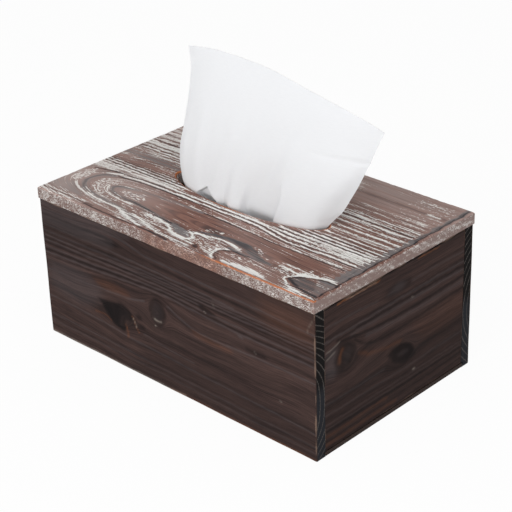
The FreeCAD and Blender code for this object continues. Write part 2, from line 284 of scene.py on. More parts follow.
def patch(tint: Tint, share: float, half_width: float, *points: tuple[float, float]) -> Stroke:
    """Make a stroke that fills a closed line of guide points."""
    return Stroke(tint, share, half_width, points, filled=True)


def stripes(tint: Tint, start: float, end: float, *marks: tuple[float, float, float]) -> list[Stroke]:
    """Make straight strokes along a face.

    Args:
        tint: what the strokes lay.
        start: where they begin.
        end: where they end.
        marks: level, half width and share of each.

    Returns:
        The strokes, in the order of the marks.
    """
    places = (start, (start + end) / 2, end)
    return [trail(tint, share, width, *((x, level) for x in places)) for level, width, share in marks]


def draw(strokes: Sequence[Stroke], x: Array, y: Array, seed: int) -> dict[str, Array]:
    """Lay strokes over each other with an unsteady hand.

    Args:
        strokes: marks in the order in which they are laid.
        x: places along the face.
        y: places across it.
        seed: fixed seed of the unsteadiness.

    Returns:
        One array of shares for each tint, by the name of its attribute.
    """
    laid = {tint: np.zeros_like(x) for tint in Tint}
    near_x = x + STRAY_ALONG * ripple(seed, STRAY_ALONG_LENGTHS, x, y)
    near_y = y + STRAY_ACROSS * ripple(seed + 1, STRAY_ACROSS_LENGTHS, x, y)
    for stroke in strokes:
        cover = stroke.cover(near_x, near_y)
        for tint in Tint:
            char_on_ash = stroke.tint is CHAR and tint is ASH
            if tint is not stroke.tint and not char_on_ash:
                laid[tint] *= 1.0 - HIDING * cover * stroke.share
        laid[stroke.tint] = np.maximum(laid[stroke.tint], cover * stroke.share)
        if stroke.tint is WASH and not stroke.filled:
            halo = stroke.share * HALO_SHARE * stroke.cover(near_x, near_y, HALO_SPREAD)
            laid[WASH] = np.maximum(laid[WASH], halo * (1.0 - laid[CHAR]))
    return {tint.value: share for tint, share in laid.items()}


# Angles at which a rounded edge gets grid lines
BEND_ANGLES = (45.0, 30.0, 15.0)


def levels(low: float, high: float, step: float, low_radius: float, high_radius: float) -> Array:
    """Space grid lines evenly, with extra ones over rounded edges.

    Args:
        low: first line.
        high: last line.
        step: widest space between lines.
        low_radius: radius of the edge at the first line, or 0.
        high_radius: radius of the edge at the last line, or 0.

    Returns:
        Places of the lines, rising.
    """
    bends = np.tan(np.radians(BEND_ANGLES))
    count = max(1, math.ceil((high - high_radius - low - low_radius) / step))
    lines = [np.linspace(low + low_radius, high - high_radius, count + 1)]
    if low_radius:
        lines.insert(0, low + low_radius * (1.0 - bends))
    if high_radius:
        lines.append(high - high_radius * (1.0 - bends[::-1]))
    return np.concatenate(lines)


# Meshes


def add_object(name: str, places: Array, faces: Array) -> Object:
    """Make a mesh object from places in millimetres and faces of four corners.

    Args:
        name: name of the object and its mesh.
        places: one row of three coordinates for each point.
        faces: one row of four point numbers for each face.

    Returns:
        The object, linked to the scene, with its faces outwards if the mesh is closed.
    """
    corners = places[faces]
    volume = np.einsum("ij,ij->", corners[:, 0], np.cross(corners[:, 1], corners[:, 2]))
    volume += np.einsum("ij,ij->", corners[:, 0], np.cross(corners[:, 2], corners[:, 3]))
    if volume < 0:
        faces = faces[:, ::-1]
    mesh = bpy.data.meshes.new(name)
    mesh.vertices.add(len(places))
    mesh.vertices.foreach_set("co", (places * MM).astype(np.float32).ravel())
    mesh.loops.add(faces.size)
    mesh.loops.foreach_set("vertex_index", faces.astype(np.int32).ravel())
    mesh.polygons.add(len(faces))
    mesh.polygons.foreach_set("loop_start", np.arange(0, faces.size, 4, dtype=np.int32))
    mesh.update(calc_edges=True)
    mesh.validate()
    thing = bpy.data.objects.new(name, mesh)
    bpy.context.scene.collection.objects.link(thing)
    return thing


def quads(numbers: Array) -> Array:
    """Join point numbers, set in rows and columns, by faces of four corners."""
    corners = (numbers[:-1, :-1], numbers[1:, :-1], numbers[1:, 1:], numbers[:-1, 1:])
    return np.stack(corners, axis=-1).reshape(-1, 4)


def paint(thing: Object, **values: Array) -> None:
    """Store values on the points of a mesh, for its nodes to read.

    Args:
        thing: the mesh object.
        values: one array for each attribute, of single numbers or rows of three.
    """
    for name, rows in values.items():
        kind, part = ("FLOAT_VECTOR", "vector") if rows.ndim > 1 else ("FLOAT", "value")
        attribute = thing.data.attributes.new(name, kind, "POINT")
        attribute.data.foreach_set(part, np.ascontiguousarray(rows, np.float32).ravel())


def settle(thing: Object) -> None:
    """Turn an object and its modifiers into a plain smooth mesh with sharp edges marked.

    Args:
        thing: the mesh object.
    """
    graph = bpy.context.evaluated_depsgraph_get()
    made = bpy.data.meshes.new_from_object(thing.evaluated_get(graph), depsgraph=graph)
    made.name = thing.name
    thing.modifiers.clear()
    thing.data = made
    made.shade_smooth()
    made.set_sharp_from_angle(angle=SHARP_ANGLE)


def add_node(
    tree: NodeTree,
    kind: str,
    inputs: dict[int | str, object],
    output: int = 0,
    **settings: object,
) -> Socket | None:
    """Add a node with its settings and links.

    Args:
        tree: shader or geometry tree.
        kind: the node's type.
        inputs: a value or another node's output for each socket, by number or name.
        output: number of the output to return.
        settings: properties of the node.

    Returns:
        The output, or nothing for a node that has none.
    """
    node = tree.nodes.new(kind)
    for name, value in settings.items():
        setattr(node, name, value)
    for key, value in inputs.items():
        if isinstance(value, Socket):
            tree.links.new(value, node.inputs[key])
        else:
            node.inputs[key].default_value = value
    return node.outputs[output] if node.outputs else None


# Node kinds that come up often
MATH = "ShaderNodeMath"
MIX = "ShaderNodeMix"
RANGE = "ShaderNodeMapRange"
NOISE = "ShaderNodeTexNoise"
SCALE = "ShaderNodeVectorMath"
ATTRIBUTE = "ShaderNodeAttribute"
SURFACE = "ShaderNodeBsdfPrincipled"
OUTPUT = "ShaderNodeOutputMaterial"
# Sockets of the Mix node for colours
FACTOR, FIRST, SECOND, MIXED = 0, 6, 7, 2
ATTRIBUTE_VECTOR, ATTRIBUTE_VALUE = 1, 2
OBJECT_PLACE = 3
WHITE = (1.0, 1.0, 1.0, 1.0)


def seen_directly(tree: NodeTree) -> Socket:
    """Tell rays that show a thing from rays that only gather its light.

    Args:
        tree: tree of the floor or the sky.

    Returns:
        1 for a ray from the camera, off a gloss or through a clear body, and 0 for any other.
    """
    path = tree.nodes.new("ShaderNodeLightPath").outputs
    seen = add_node(tree, MATH, {0: path["Is Camera Ray"], 1: path["Is Glossy Ray"]}, operation="MAXIMUM")
    return add_node(tree, MATH, {0: seen, 1: path["Is Transmission Ray"]}, operation="MAXIMUM")


def multiply_add(tree: NodeTree, first: Socket, second: Number, added: Number = 0.0) -> Socket:
    """Multiply two values and add a third."""
    return add_node(tree, MATH, {0: first, 1: second, 2: added}, operation="MULTIPLY_ADD")


class Shading:
    """A new material, and short ways to add nodes to its tree."""

    def __init__(self, name: str) -> None:
        """Add a material with an empty tree.

        Args:
            name: name of the material.
        """
        self.material = bpy.data.materials.new(name)
        self.material.use_nodes = True
        self.tree = self.material.node_tree
        self.tree.nodes.clear()

    def read(self, name: str) -> Socket:
        """Read a number that the mesh carries."""
        return add_node(self.tree, ATTRIBUTE, {}, ATTRIBUTE_VALUE, attribute_name=name)

    def read_place(self, name: str) -> Socket:
        """Read a place that the mesh carries."""
        return add_node(self.tree, ATTRIBUTE, {}, ATTRIBUTE_VECTOR, attribute_name=name)

    def object_place(self) -> Socket:
        """Read the place in the object's own frame."""
        return add_node(self.tree, "ShaderNodeTexCoord", {}, OBJECT_PLACE)

    def noise(self, place: Socket, size: Size, detail: float, roughness: float = 0.5) -> Socket:
        """Make noise whose grains have a given size.

        Args:
            place: where the noise is read.
            size: size of a grain along each axis, in millimetres.
            detail: number of finer layers.
            roughness: strength of each finer layer.

        Returns:
            The noise, about 0.5 in the middle.
        """
        scale = tuple(1.0 / (length * MM) for length in size)
        scaled = add_node(self.tree, SCALE, {0: place, 1: scale}, operation="MULTIPLY")
        inputs = {"Vector": scaled, "Scale": 1.0, "Detail": detail, "Roughness": roughness}
        return add_node(self.tree, NOISE, inputs)

    def times(self, first: Socket, second: Number, added: Number = 0.0) -> Socket:
        """Multiply two values and add a third."""
        return multiply_add(self.tree, first, second, added)

    def ramp(self, value: Socket, low: float, high: float, start: float = 0.0, end: float = 1.0) -> Socket:
        """Carry values from low to high onto start to end in a straight line."""
        return add_node(self.tree, RANGE, {0: value, 1: low, 2: high, 3: start, 4: end})

    def ease(self, value: Socket, low: float, high: float, end: float = 1.0) -> Socket:
        """Carry values from low to high smoothly onto 0 to end."""
        inputs = {0: value, 1: low, 2: high, 3: 0.0, 4: end}
        return add_node(self.tree, RANGE, inputs, interpolation_type="SMOOTHSTEP")

    def blend(self, share: Socket, *colours: Socket | str) -> Socket:
        """Mix two colours, each a hex colour or a node's output.

        Args:
            share: share of the second colour.
            colours: the two colours.

        Returns:
            The mixed colour.
        """
        first, second = (linear(colour) if isinstance(colour, str) else colour for colour in colours)
        inputs = {FACTOR: share, FIRST: first, SECOND: second}
        return add_node(self.tree, MIX, inputs, MIXED, data_type="RGBA")

    def layered(self, ground: str, *layers: tuple[Socket, Socket | str]) -> Socket:
        """Lay colours over each other.

        Args:
            ground: colour under all others.
            layers: share and colour of each, from the lowest.

        Returns:
            The mixed colour.
        """
        colour = ground
        for share, tint in layers:
            colour = self.blend(share, colour, tint)
        return colour

    def bump(self, depth: float, strength: float, *heights: Socket) -> Socket:
        """Make a surface look finely uneven.

        Args:
            depth: depth in millimetres.
            strength: share of the depth that shows.
            heights: one or two values that add up to the height.

        Returns:
            The bent normal.
        """
        height = heights[0]
        if len(heights) > 1:
            height = add_node(self.tree, MATH, dict(enumerate(heights)), operation="ADD")
        inputs = {"Height": height, "Distance": depth * MM, "Strength": strength}
        return add_node(self.tree, "ShaderNodeBump", inputs)

    def finish(self, colour: Socket, rough: Socket, others: dict[str, object]) -> Material:
        """Close the tree with a surface.

        Args:
            colour: colour of the surface.
            rough: its roughness.
            others: its other inputs, by name.

        Returns:
            The material.
        """
        surface = add_node(self.tree, SURFACE, {"Base Color": colour, "Roughness": rough, **others})
        add_node(self.tree, OUTPUT, {"Surface": surface})
        return self.material


@dataclass(frozen=True)
class BrushedRelief:
    """Relief that a wire brush leaves on softwood: early wood sinks, late wood stands.

    The mesh carries how far the wood sinks as "sink", the place along and across the grain as
    "grain" and the share of the relief that a place shows as "brushed".
    """

    sink_depth: float = 0.25
    streak_depth: float = 0.16
    streak: Size = (42.0, 1.3, 1.3)
    seed: int = 7

    def tree(self) -> NodeTree:
        """Build the tree of geometry nodes.

        Returns:
            The tree, with named inputs for the depths, the size of a streak, the seed and the finish.
        """
        tree = bpy.data.node_groups.new("brushed_relief", "GeometryNodeTree")
        inputs = {
            "Geometry": "Geometry",
            "Sink Depth": "Float",
            "Streak Depth": "Float",
            "Streak Size": "Vector",
            "Seed": "Float",
            "Finish": "Material",
        }
        tree.interface.new_socket("Geometry", in_out="OUTPUT", socket_type="NodeSocketGeometry")
        for name, kind in inputs.items():
            tree.interface.new_socket(name, in_out="INPUT", socket_type=f"NodeSocket{kind}")
        given = {socket.name: socket for socket in tree.nodes.new("NodeGroupInput").outputs}

        named = "GeometryNodeInputNamedAttribute"
        sink = add_node(tree, named, {"Name": "sink"}, data_type="FLOAT")
        brushed = add_node(tree, named, {"Name": "brushed"}, data_type="FLOAT")
        grain = add_node(tree, named, {"Name": "grain"}, data_type="FLOAT_VECTOR")
        place = add_node(tree, SCALE, {0: grain, 1: given["Streak Size"]}, operation="DIVIDE")
        noise = {"Vector": place, "W": given["Seed"], "Scale": 1.0, "Detail": 3.0}
        streak = add_node(tree, NOISE, noise, noise_dimensions="4D")
        sunk = multiply_add(tree, sink, given["Sink Depth"])
        depth = multiply_add(tree, streak, given["Streak Depth"], sunk)
        inward = multiply_add(tree, multiply_add(tree, depth, brushed), -1.0)
        normal = add_node(tree, "GeometryNodeInputNormal", {})
        shift = add_node(tree, SCALE, {0: normal, "Scale": inward}, operation="SCALE")
        moved = add_node(tree, "GeometryNodeSetPosition", {"Geometry": given["Geometry"], "Offset": shift})
        real = add_node(tree, "GeometryNodeRealizeInstances", {"Geometry": moved})
        dressing = {"Geometry": real, "Material": given["Finish"]}
        dressed = add_node(tree, "GeometryNodeSetMaterial", dressing)
        add_node(tree, "NodeGroupOutput", {"Geometry": dressed})
        return tree

    def apply(self, thing: Object, finish: Material) -> None:
        """Brush an object and give it its finish.

        Args:
            thing: mesh object with the attributes that the tree reads.
            finish: material of the board.
        """
        tree = self.tree()
        modifier = thing.modifiers.new("brushed_relief", "NODES")
        modifier.node_group = tree
        values = {
            "Sink Depth": self.sink_depth * MM,
            "Streak Depth": self.streak_depth * MM,
            "Streak Size": tuple(length * MM for length in self.streak),
            "Seed": float(self.seed),
            "Finish": finish,
        }
        for item in tree.interface.items_tree:
            if item.in_out == "INPUT" and item.name in values:
                modifier[item.identifier] = values[item.name]
        settle(thing)


# Finishes


@dataclass(frozen=True)
class TorchedFir:
    """Fir boards torched, brushed and stained dark.

    Torching leaves the late wood and the knots near black, brushing bares brown early wood with a
    grey bloom, and the stain is matte, with pale rubbed edges and black end grain with grey rings.
    """

    name: str = "torched_fir"
    dark_brown: str = "#211919"
    warm_brown: str = "#4b3a36"
    char: str = "#0e0c0d"
    ash: str = "#524d4f"
    bare: str = "#7c4c2e"
    pale: str = "#a49a90"
    rubbed: str = "#7d685b"
    end_black: str = "#0f0d0d"
    end_slate: str = "#232428"
    end_grey: str = "#57524f"
    streak: Size = (60.0, 0.8, 0.8)
    band: Size = (230.0, 7.0, 7.0)
    fibre: Size = (15.0, 0.45, 0.45)
    detail: float = 4.0
    roughness: float = 0.6
    gloss: float = 0.05

    def build(self) -> Material:
        """Build the material.

        Returns:
            A material that reads the board's own attributes.
        """
        nodes = Shading(self.name)
        grain = nodes.read_place("grain")
        named = ("ring", "char", "ash", "bare", "pale", "wear", "end")
        ring, char, ash, bare, pale, wear, end = (nodes.read(name) for name in named)
        streaks, bands, fibres = (
            nodes.noise(grain, size, self.detail, self.roughness)
            for size in (self.streak, self.band, self.fibre)
        )

        # Late wood swells slowly over a year and stops at once
        year = add_node(nodes.tree, MATH, {0: nodes.times(streaks, 0.5, ring)}, operation="FRACT")
        stop = nodes.ramp(year, 0.93, 1.0, 1.0, 0.0)
        late = nodes.times(nodes.ease(year, 0.35, 0.9), stop)
        late_share = nodes.times(late, nodes.ramp(bands, 0.35, 0.65, 0.42, 0.06))

        # Brown of the early wood, from broad bands to single fibres
        tone = nodes.times(nodes.ease(bands, 0.36, 0.64), 0.3, -0.02)
        tone = nodes.times(nodes.ramp(streaks, 0.36, 0.64), 0.38, tone)
        tone = nodes.times(nodes.ramp(fibres, 0.36, 0.64), 0.4, tone)

        # The brush breaks up every mark along the grain
        broken = nodes.ramp(streaks, 0.35, 0.55, 0.55, 1.0)
        grey_ring = nodes.times(nodes.ease(year, 0.8, 0.9), stop)
        end_base = nodes.blend(ash, self.end_black, self.end_slate)
        end_colour = nodes.blend(nodes.times(grey_ring, broken), end_base, self.end_grey)
        rubbed = nodes.ease(nodes.times(fibres, 0.7, wear), 0.75, 1.2, 0.6)
        colour = nodes.layered(
            self.dark_brown,
            (tone, self.warm_brown),
            (late_share, self.char),
            (nodes.times(ash, broken), self.ash),
            (nodes.times(char, broken), self.char),
            (nodes.times(bare, broken), self.bare),
            (nodes.times(pale, broken), self.pale),
            (end, end_colour),
            (rubbed, self.rubbed),
        )
        rough = nodes.ramp(streaks, 0.3, 0.7, 0.6, 0.78)
        bump = nodes.bump(0.12, 0.6, streaks, fibres)
        return nodes.finish(colour, rough, {"Normal": bump, "IOR": 1.5, "Specular IOR Level": self.gloss})


@dataclass(frozen=True)
class WhitewashedFir:
    """Fir lid wire-brushed, stained brown and rubbed with white wash.

    The wash stays in the brushed early wood beside each late ring, so the figure reads as white and
    charcoal lines on red brown, with bare orange arrises and speckled sawn edges.
    """

    name: str = "whitewashed_fir"
    deep_brown: str = "#674a43"
    red_brown: str = "#8b675c"
    char: str = "#292a2f"
    ash: str = "#787879"
    wash: str = "#f0f0ec"
    film: str = "#ead9d3"
    bare: str = "#bb6e3f"
    edge_brown: str = "#6c5650"
    streak: Size = (30.0, 0.6, 0.6)
    band: Size = (140.0, 4.0, 4.0)
    fleck: Size = (2.2, 0.9, 0.9)
    dash: Size = (3.4, 1.35, 1.35)
    speckle: Size = (1.08, 1.08, 0.42)
    blotch: Size = (5.0, 5.0, 5.0)
    detail: float = 3.0
    roughness: float = 0.55
    gloss: float = 0.05

    def build(self) -> Material:
        """Build the material.

        Returns:
            A material that reads the lid's own attributes.
        """
        nodes = Shading(self.name)
        named = ("char", "ash", "wash", "pale", "bare", "haze", "side")
        char, ash, wash, pale, bare, haze, side = (nodes.read(name) for name in named)
        grain, place = nodes.read_place("grain"), nodes.object_place()
        sources = (
            (grain, self.streak),
            (grain, self.band),
            (place, self.fleck),
            (place, self.dash),
            (place, self.speckle),
            (place, self.blotch),
        )
        streaks, bands, flecks, dashes, speckles, blotches = (
            nodes.noise(source, size, self.detail, self.roughness) for source, size in sources
        )

        # Wash stays where the brush opened the wood, broken up into flecks along the grain
        opened = nodes.times(streaks, 3.4, nodes.times(flecks, 1.4))
        white = nodes.ease(nodes.times(wash, 1.25, opened), 2.88, 3.12, 0.93)
        dust = nodes.ease(nodes.times(dashes, 2.2, pale), 1.72, 1.84, 0.88)
        hair = nodes.ease(streaks, 0.6, 0.75, 0.35)
        grit = nodes.times(speckles, 2.8, nodes.times(blotches, 0.9, wash))
        edge = nodes.blend(nodes.ease(grit, 1.95, 2.75, 0.62), self.edge_brown, self.wash)

        # Stain and char follow the fibres
        tone = nodes.ramp(bands, 0.3, 0.6, 0.45, 1.0)
        fibre = nodes.ramp(streaks, 0.34, 0.5, 0.65, 0.0)
        burnt = nodes.ramp(streaks, 0.36, 0.62, 1.15, 0.7)
        charred = nodes.ease(nodes.times(char, burnt), 0.25, 0.8, 0.92)
        greyed = nodes.ease(nodes.times(ash, burnt), 0.2, 1.0, 0.85)
        bared = nodes.ease(nodes.times(speckles, 0.9, bare), 0.9, 1.3, 0.85)
        colour = nodes.layered(
            self.deep_brown,
            (tone, self.red_brown),
            (fibre, self.char),
            (hair, self.wash),
            (greyed, self.ash),
            (charred, self.char),
            (dust, self.wash),
            (white, self.wash),
            (side, edge),
            (haze, self.film),
            (bared, self.bare),
        )
        rough = nodes.ramp(white, 0.0, 1.0, 0.66, 0.85)
        bump = nodes.bump(0.15, 0.6, streaks, speckles)
        return nodes.finish(colour, rough, {"Normal": bump, "IOR": 1.5, "Specular IOR Level": self.gloss})


@dataclass(frozen=True)
class StainedPlywood:
    """Thin plywood under the same dark stain, with a faint long grain and plies along its edges."""

    name: str = "stained_plywood"
    stain: str = "#251d1b"
    pale: str = "#3d302b"
    grain: Size = (60.0, 1.4, 0.7)
    gloss: float = 0.1

    def build(self) -> Material:
        """Build the material.

        Returns:
            A material that reads the place on the panel.
        """
        nodes = Shading(self.name)
        grain = nodes.noise(nodes.object_place(), self.grain, 5.0, 0.65)
        colour = nodes.blend(nodes.ease(grain, 0.35, 0.68), self.stain, self.pale)
        rough = nodes.ramp(grain, 0.3, 0.7, 0.55, 0.72)
        bump = nodes.bump(0.1, 0.5, grain)
        return nodes.finish(colour, rough, {"Normal": bump, "IOR": 1.5, "Specular IOR Level": self.gloss})


@dataclass(frozen=True)
class DrawnSteel:
    """Bright drawn wire: bare steel with fine lines along the draw and a soft gloss."""

    name: str = "drawn_steel_wire"
    bright: str = "#b9b8b6"
    dull: str = "#8d8b88"
    line: Size = (0.15, 0.15, 0.15)

    def build(self) -> Material:
        """Build the material.

        Returns:
            A material that reads the place on the brad.
        """
        nodes = Shading(self.name)
        lines = nodes.noise(nodes.object_place(), self.line, 2.0)
        colour = nodes.blend(lines, self.dull, self.bright)
        return nodes.finish(colour, nodes.ramp(lines, 0.3, 0.7, 0.28, 0.42), {"Metallic": 1.0})


@dataclass(frozen=True)
class TissuePaper:
    """Soft two-ply facial tissue: creped, matte and a little translucent, so its folds glow."""

    name: str = "tissue_paper"
    bright: str = "#ebedf0"
    shade: str = "#e5e7eb"
    crepe: Size = (5.0, 0.7, 0.7)
    scatter: float = 2.5
    gloss: float = 0.2

    def build(self) -> Material:
        """Build the material.

        Returns:
            A material that reads the place on the flat sheet.
        """
        nodes = Shading(self.name)
        crepe = nodes.noise(nodes.read_place("flat"), self.crepe, 3.0)
        colour = nodes.blend(crepe, self.shade, self.bright)
        others = {
            "Normal": nodes.bump(0.06, 0.4, crepe),
            "IOR": 1.45,
            "Specular IOR Level": self.gloss,
            "Subsurface Weight": 0.5,
            "Subsurface Scale": self.scatter * MM,
            "Subsurface Radius": (1.0, 1.0, 1.0),
        }
        return nodes.finish(colour, nodes.ramp(crepe, 0.3, 0.7, 0.85, 0.95), others)


@dataclass(frozen=True)
class StudioPaper:
    """White paper sweep: matte white that reads as plain white, and keeps a soft shadow."""

    name: str = "studio_paper"
    white: str = "#fbfbfb"
    glow: float = 0.95

    def build(self) -> Material:
        """Build the material.

        Returns:
            A material that glows only where it is seen directly.
        """
        nodes = Shading(self.name)
        share = nodes.times(seen_directly(nodes.tree), self.glow)
        paper = add_node(nodes.tree, "ShaderNodeBsdfDiffuse", {"Color": linear(self.white)})
        white = add_node(nodes.tree, "ShaderNodeEmission", {"Color": WHITE, "Strength": 1.0})
        both = add_node(nodes.tree, "ShaderNodeMixShader", {0: share, 1: paper, 2: white})
        add_node(nodes.tree, OUTPUT, {"Surface": both})
        return nodes.material


# Boards of the box


@dataclass(frozen=True)
class Knot:
    """A knot that the grain bends round: its place along and across the board, size and stretch."""

    along: float
    across: float
    radius: float
    stretch: float = 1.6


@dataclass
class WallBoard:
    """One wall of the box, with its grain, figure, rubbed edges and groove for the base panel."""

    name: str
    wall: Wall
    stands_for: tuple[str, ...]
    knots: tuple[Knot, ...]
    figure: tuple[Stroke, ...]
    seed: int
    # Levels of the board, and how far the grain rises there along the board
    bends: tuple[tuple[float, Points], ...] = ((0.0, ((-130, 0), (130, 0))), (108.0, ((-130, 0), (130, 0))))
    pith_depth: float = -36.0
    pith_level: float = 45.0
    ring_width: float = 4.2
    # How far grain lines stray, and over which lengths
    grain_sway: float = 0.8
    grain_lengths: tuple[float, ...] = (170.0, 95.0, 60.0)
    # End grain is slate below this level
    slate_level: float = 52.0
    slate_blur: float = 6.0
    # Depth at which the outer face's figure ends, and where it is full
    figure_depth: tuple[float, float] = (1.6, 0.2)
    edge_radius: float = 0.8
    step_along: float = 1.25
    step_across: float = 0.78
    step_through: float = 1.1
    wear_reach: float = 1.0
    wear_depth: float = 2.2
    wear_lengths: tuple[float, ...] = (38.0, 17.0)
    smooth_rim: float = 1.5
    waviness: float = 0.25
    wave_lengths: tuple[float, ...] = (90.0, 55.0, 34.0)
    # Groove for the base panel: where it starts, and the levels of its lip, slant and roof
    groove_start: float | None = None
    lip_top: float = 1.1
    slant_top: float = 3.2
    roof: float = 3.7
    groove_depth: float = 2.0

    def __post_init__(self) -> None:
        """Read the board's corners from the CAD model."""
        along, through, side = self.wall.value
        low, high = (np.array(corner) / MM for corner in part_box(self.stands_for[0]))
        self.ends = (low[along], high[along])
        self.foot, self.top = low[Axis.Z], high[Axis.Z]
        self.thickness = high[through] - low[through]
        self.outer = high[through] if side > 0 else low[through]

    def grid(self) -> tuple[Array, Array]:
        """Lay a grid over the six faces of the board.

        Returns:
            Places along, through and across the board for each point, and the faces.
        """
        radius = self.edge_radius
        lines = [
            levels(*self.ends, self.step_along, radius, radius),
            levels(0.0, self.thickness, self.step_through, radius, 0.0),
            levels(self.foot, self.top, self.step_across, radius, radius),
        ]
        counts = [len(line) for line in lines]
        numbers = np.arange(np.prod(counts)).reshape(counts)
        faces = []
        for axis in range(3):
            for side in (0, -1):
                sheet = np.take(numbers, side, axis=axis)
                turned = (side == 0) == (axis != 1)
                faces.append(quads(sheet)[:, ::-1] if turned else quads(sheet))
        kept, faces = np.unique(np.concatenate(faces), return_inverse=True)
        index = np.unravel_index(kept, counts)
        places = np.stack([line[rows] for line, rows in zip(lines, index)], axis=-1)
        return places, faces.reshape(-1, 4)

    def round_edges(self, places: Array) -> Array:
        """Round the edges of the outer face.

        Args:
            places: along, through and across for each point of the grid.

        Returns:
            The moved places.
        """
        radius = self.edge_radius
        core = places.copy()
        core[:, 0] = np.clip(core[:, 0], self.ends[0] + radius, self.ends[1] - radius)
        core[:, 1] = np.maximum(core[:, 1], radius)
        core[:, 2] = np.clip(core[:, 2], self.foot + radius, self.top - radius)
        reach = places - core
        length = np.linalg.norm(reach, axis=1, keepdims=True)
        rounded = core + reach / np.maximum(length, TINY) * radius
        on_rim = (places[:, 1] < radius) & (length[:, 0] > TINY)
        return np.where(on_rim[:, None], rounded, places)

    def cut_groove(self, places: Array) -> Array:
        """Sink the stopped groove for the base panel into the foot of the inner face.

        Args:
            places: along, through and across for each point of the grid.

        Returns:
            The moved places.
        """
        made = places.copy()
        inner = places[:, 1] > self.thickness - NEAR
        rows = np.unique(places[inner, 2])
        roof_row = int(np.searchsorted(rows, self.roof))
        lip_row = int(np.searchsorted(rows, self.lip_top))
        targets = {
            lip_row: (self.lip_top, 0.0),
            roof_row - 1: (self.roof, self.groove_depth),
            roof_row: (self.roof, 0.0),
        }
        for row in range(lip_row + 1, roof_row - 1):
            share = (rows[row] - rows[lip_row]) / (rows[roof_row - 2] - rows[lip_row])
            level = self.lip_top + share * (self.slant_top - self.lip_top)
            targets[row] = (level, share * self.groove_depth)
        columns = np.unique(places[inner, 0])
        stop = columns[int(np.searchsorted(columns, self.groove_start))]
        for row, (level, depth) in targets.items():
            here = inner & (np.abs(places[:, 2] - rows[row]) < NEAR)
            made[here, 2] = level
            made[here & (places[:, 0] > stop - NEAR), 1] -= depth
        return made

    def deflect(self, along: Array, across: Array) -> Array:
        """Bend the grain with the tree, and round the knots as water flows round posts.

        Args:
            along: places along the board.
            across: places across it.

        Returns:
            The level at which straight grain would run.
        """
        level = across + self.grain_sway * ripple(self.seed, self.grain_lengths, along, across)
        for (low, low_line), (high, high_line) in zip(self.bends[:-1], self.bends[1:]):
            share = np.clip((across - low) / (high - low), 0.0, 1.0)
            here = (across >= low) & (across < high)
            lift = (1.0 - share) * follow(low_line, along) + share * follow(high_line, along)
            level = level - np.where(here, lift, 0.0)
        for knot in self.knots:
            away = across - knot.across
            spread = ((along - knot.along) / knot.stretch) ** 2 + away**2
            level = level - away * knot.radius**2 / np.maximum(spread, knot.radius**2)
        return level

    def build(self, relief: BrushedRelief, finish: Material) -> Object:
        """Build the board, paint its grain and brush it.

        Args:
            relief: brushed relief of the faces.
            finish: material of the walls.

        Returns:
            The finished board.
        """
        places, faces = self.grid()
        along, through, across = places.T
        level = self.deflect(along, across)
        ring = np.hypot(through - self.pith_depth, level - self.pith_level) / self.ring_width
        outer = rise(through, *self.figure_depth)
        at_end = np.minimum(along - self.ends[0], self.ends[1] - along)
        edge = np.minimum(at_end, np.minimum(across - self.foot, self.top - across))
        end_face = rise(at_end, 0.02, 0.0) * (1.0 - outer)
        marks = {name: share * outer for name, share in draw(self.figure, along, across, self.seed).items()}
        slate = rise(across, self.slate_level + self.slate_blur, self.slate_level - self.slate_blur)
        marks["ash"] = np.where(end_face > 0.5, slate, marks["ash"])
        wear = np.exp(-edge / self.wear_reach) * rise(through, self.wear_depth, 0.0)
        wear = wear * (0.7 + 0.4 * ripple(self.seed + 5, self.wear_lengths, along, across))

        shaped = self.round_edges(places)
        if self.groove_start is not None:
            shaped = self.cut_groove(shaped)
        wave = 0.5 + 0.5 * ripple(self.seed + 9, self.wave_lengths, along, across)
        shaped[:, 1] += self.waviness * np.maximum(wave, 0.0) * outer

        world = np.empty_like(shaped)
        along_axis, through_axis, side = self.wall.value
        world[:, along_axis] = shaped[:, 0]
        world[:, through_axis] = self.outer - side * shaped[:, 1]
        world[:, Axis.Z] = shaped[:, 2]
        board = add_object(self.name, world, faces)
        year = np.mod(ring, 1.0)
        early = rise(year, 0.02, 0.2) * rise(year, 0.95, 0.55)
        paint(
            board,
            ring=ring,
            grain=np.stack((along, level, through), axis=-1) * MM,
            sink=np.clip(0.5 * early + 0.6 * marks["ash"] - 0.5 * marks["char"], 0.0, 1.0),
            brushed=np.maximum(outer, 0.6 * end_face) * rise(edge, 0.0, self.smooth_rim),
            wear=wear,
            end=end_face,
            **{name: marks[name] for name in ("char", "ash", "bare", "pale")},
        )
        relief.apply(board, finish)
        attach(board, "cover")
        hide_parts(*self.stands_for)
        return board


# Lid: places along and across the top face

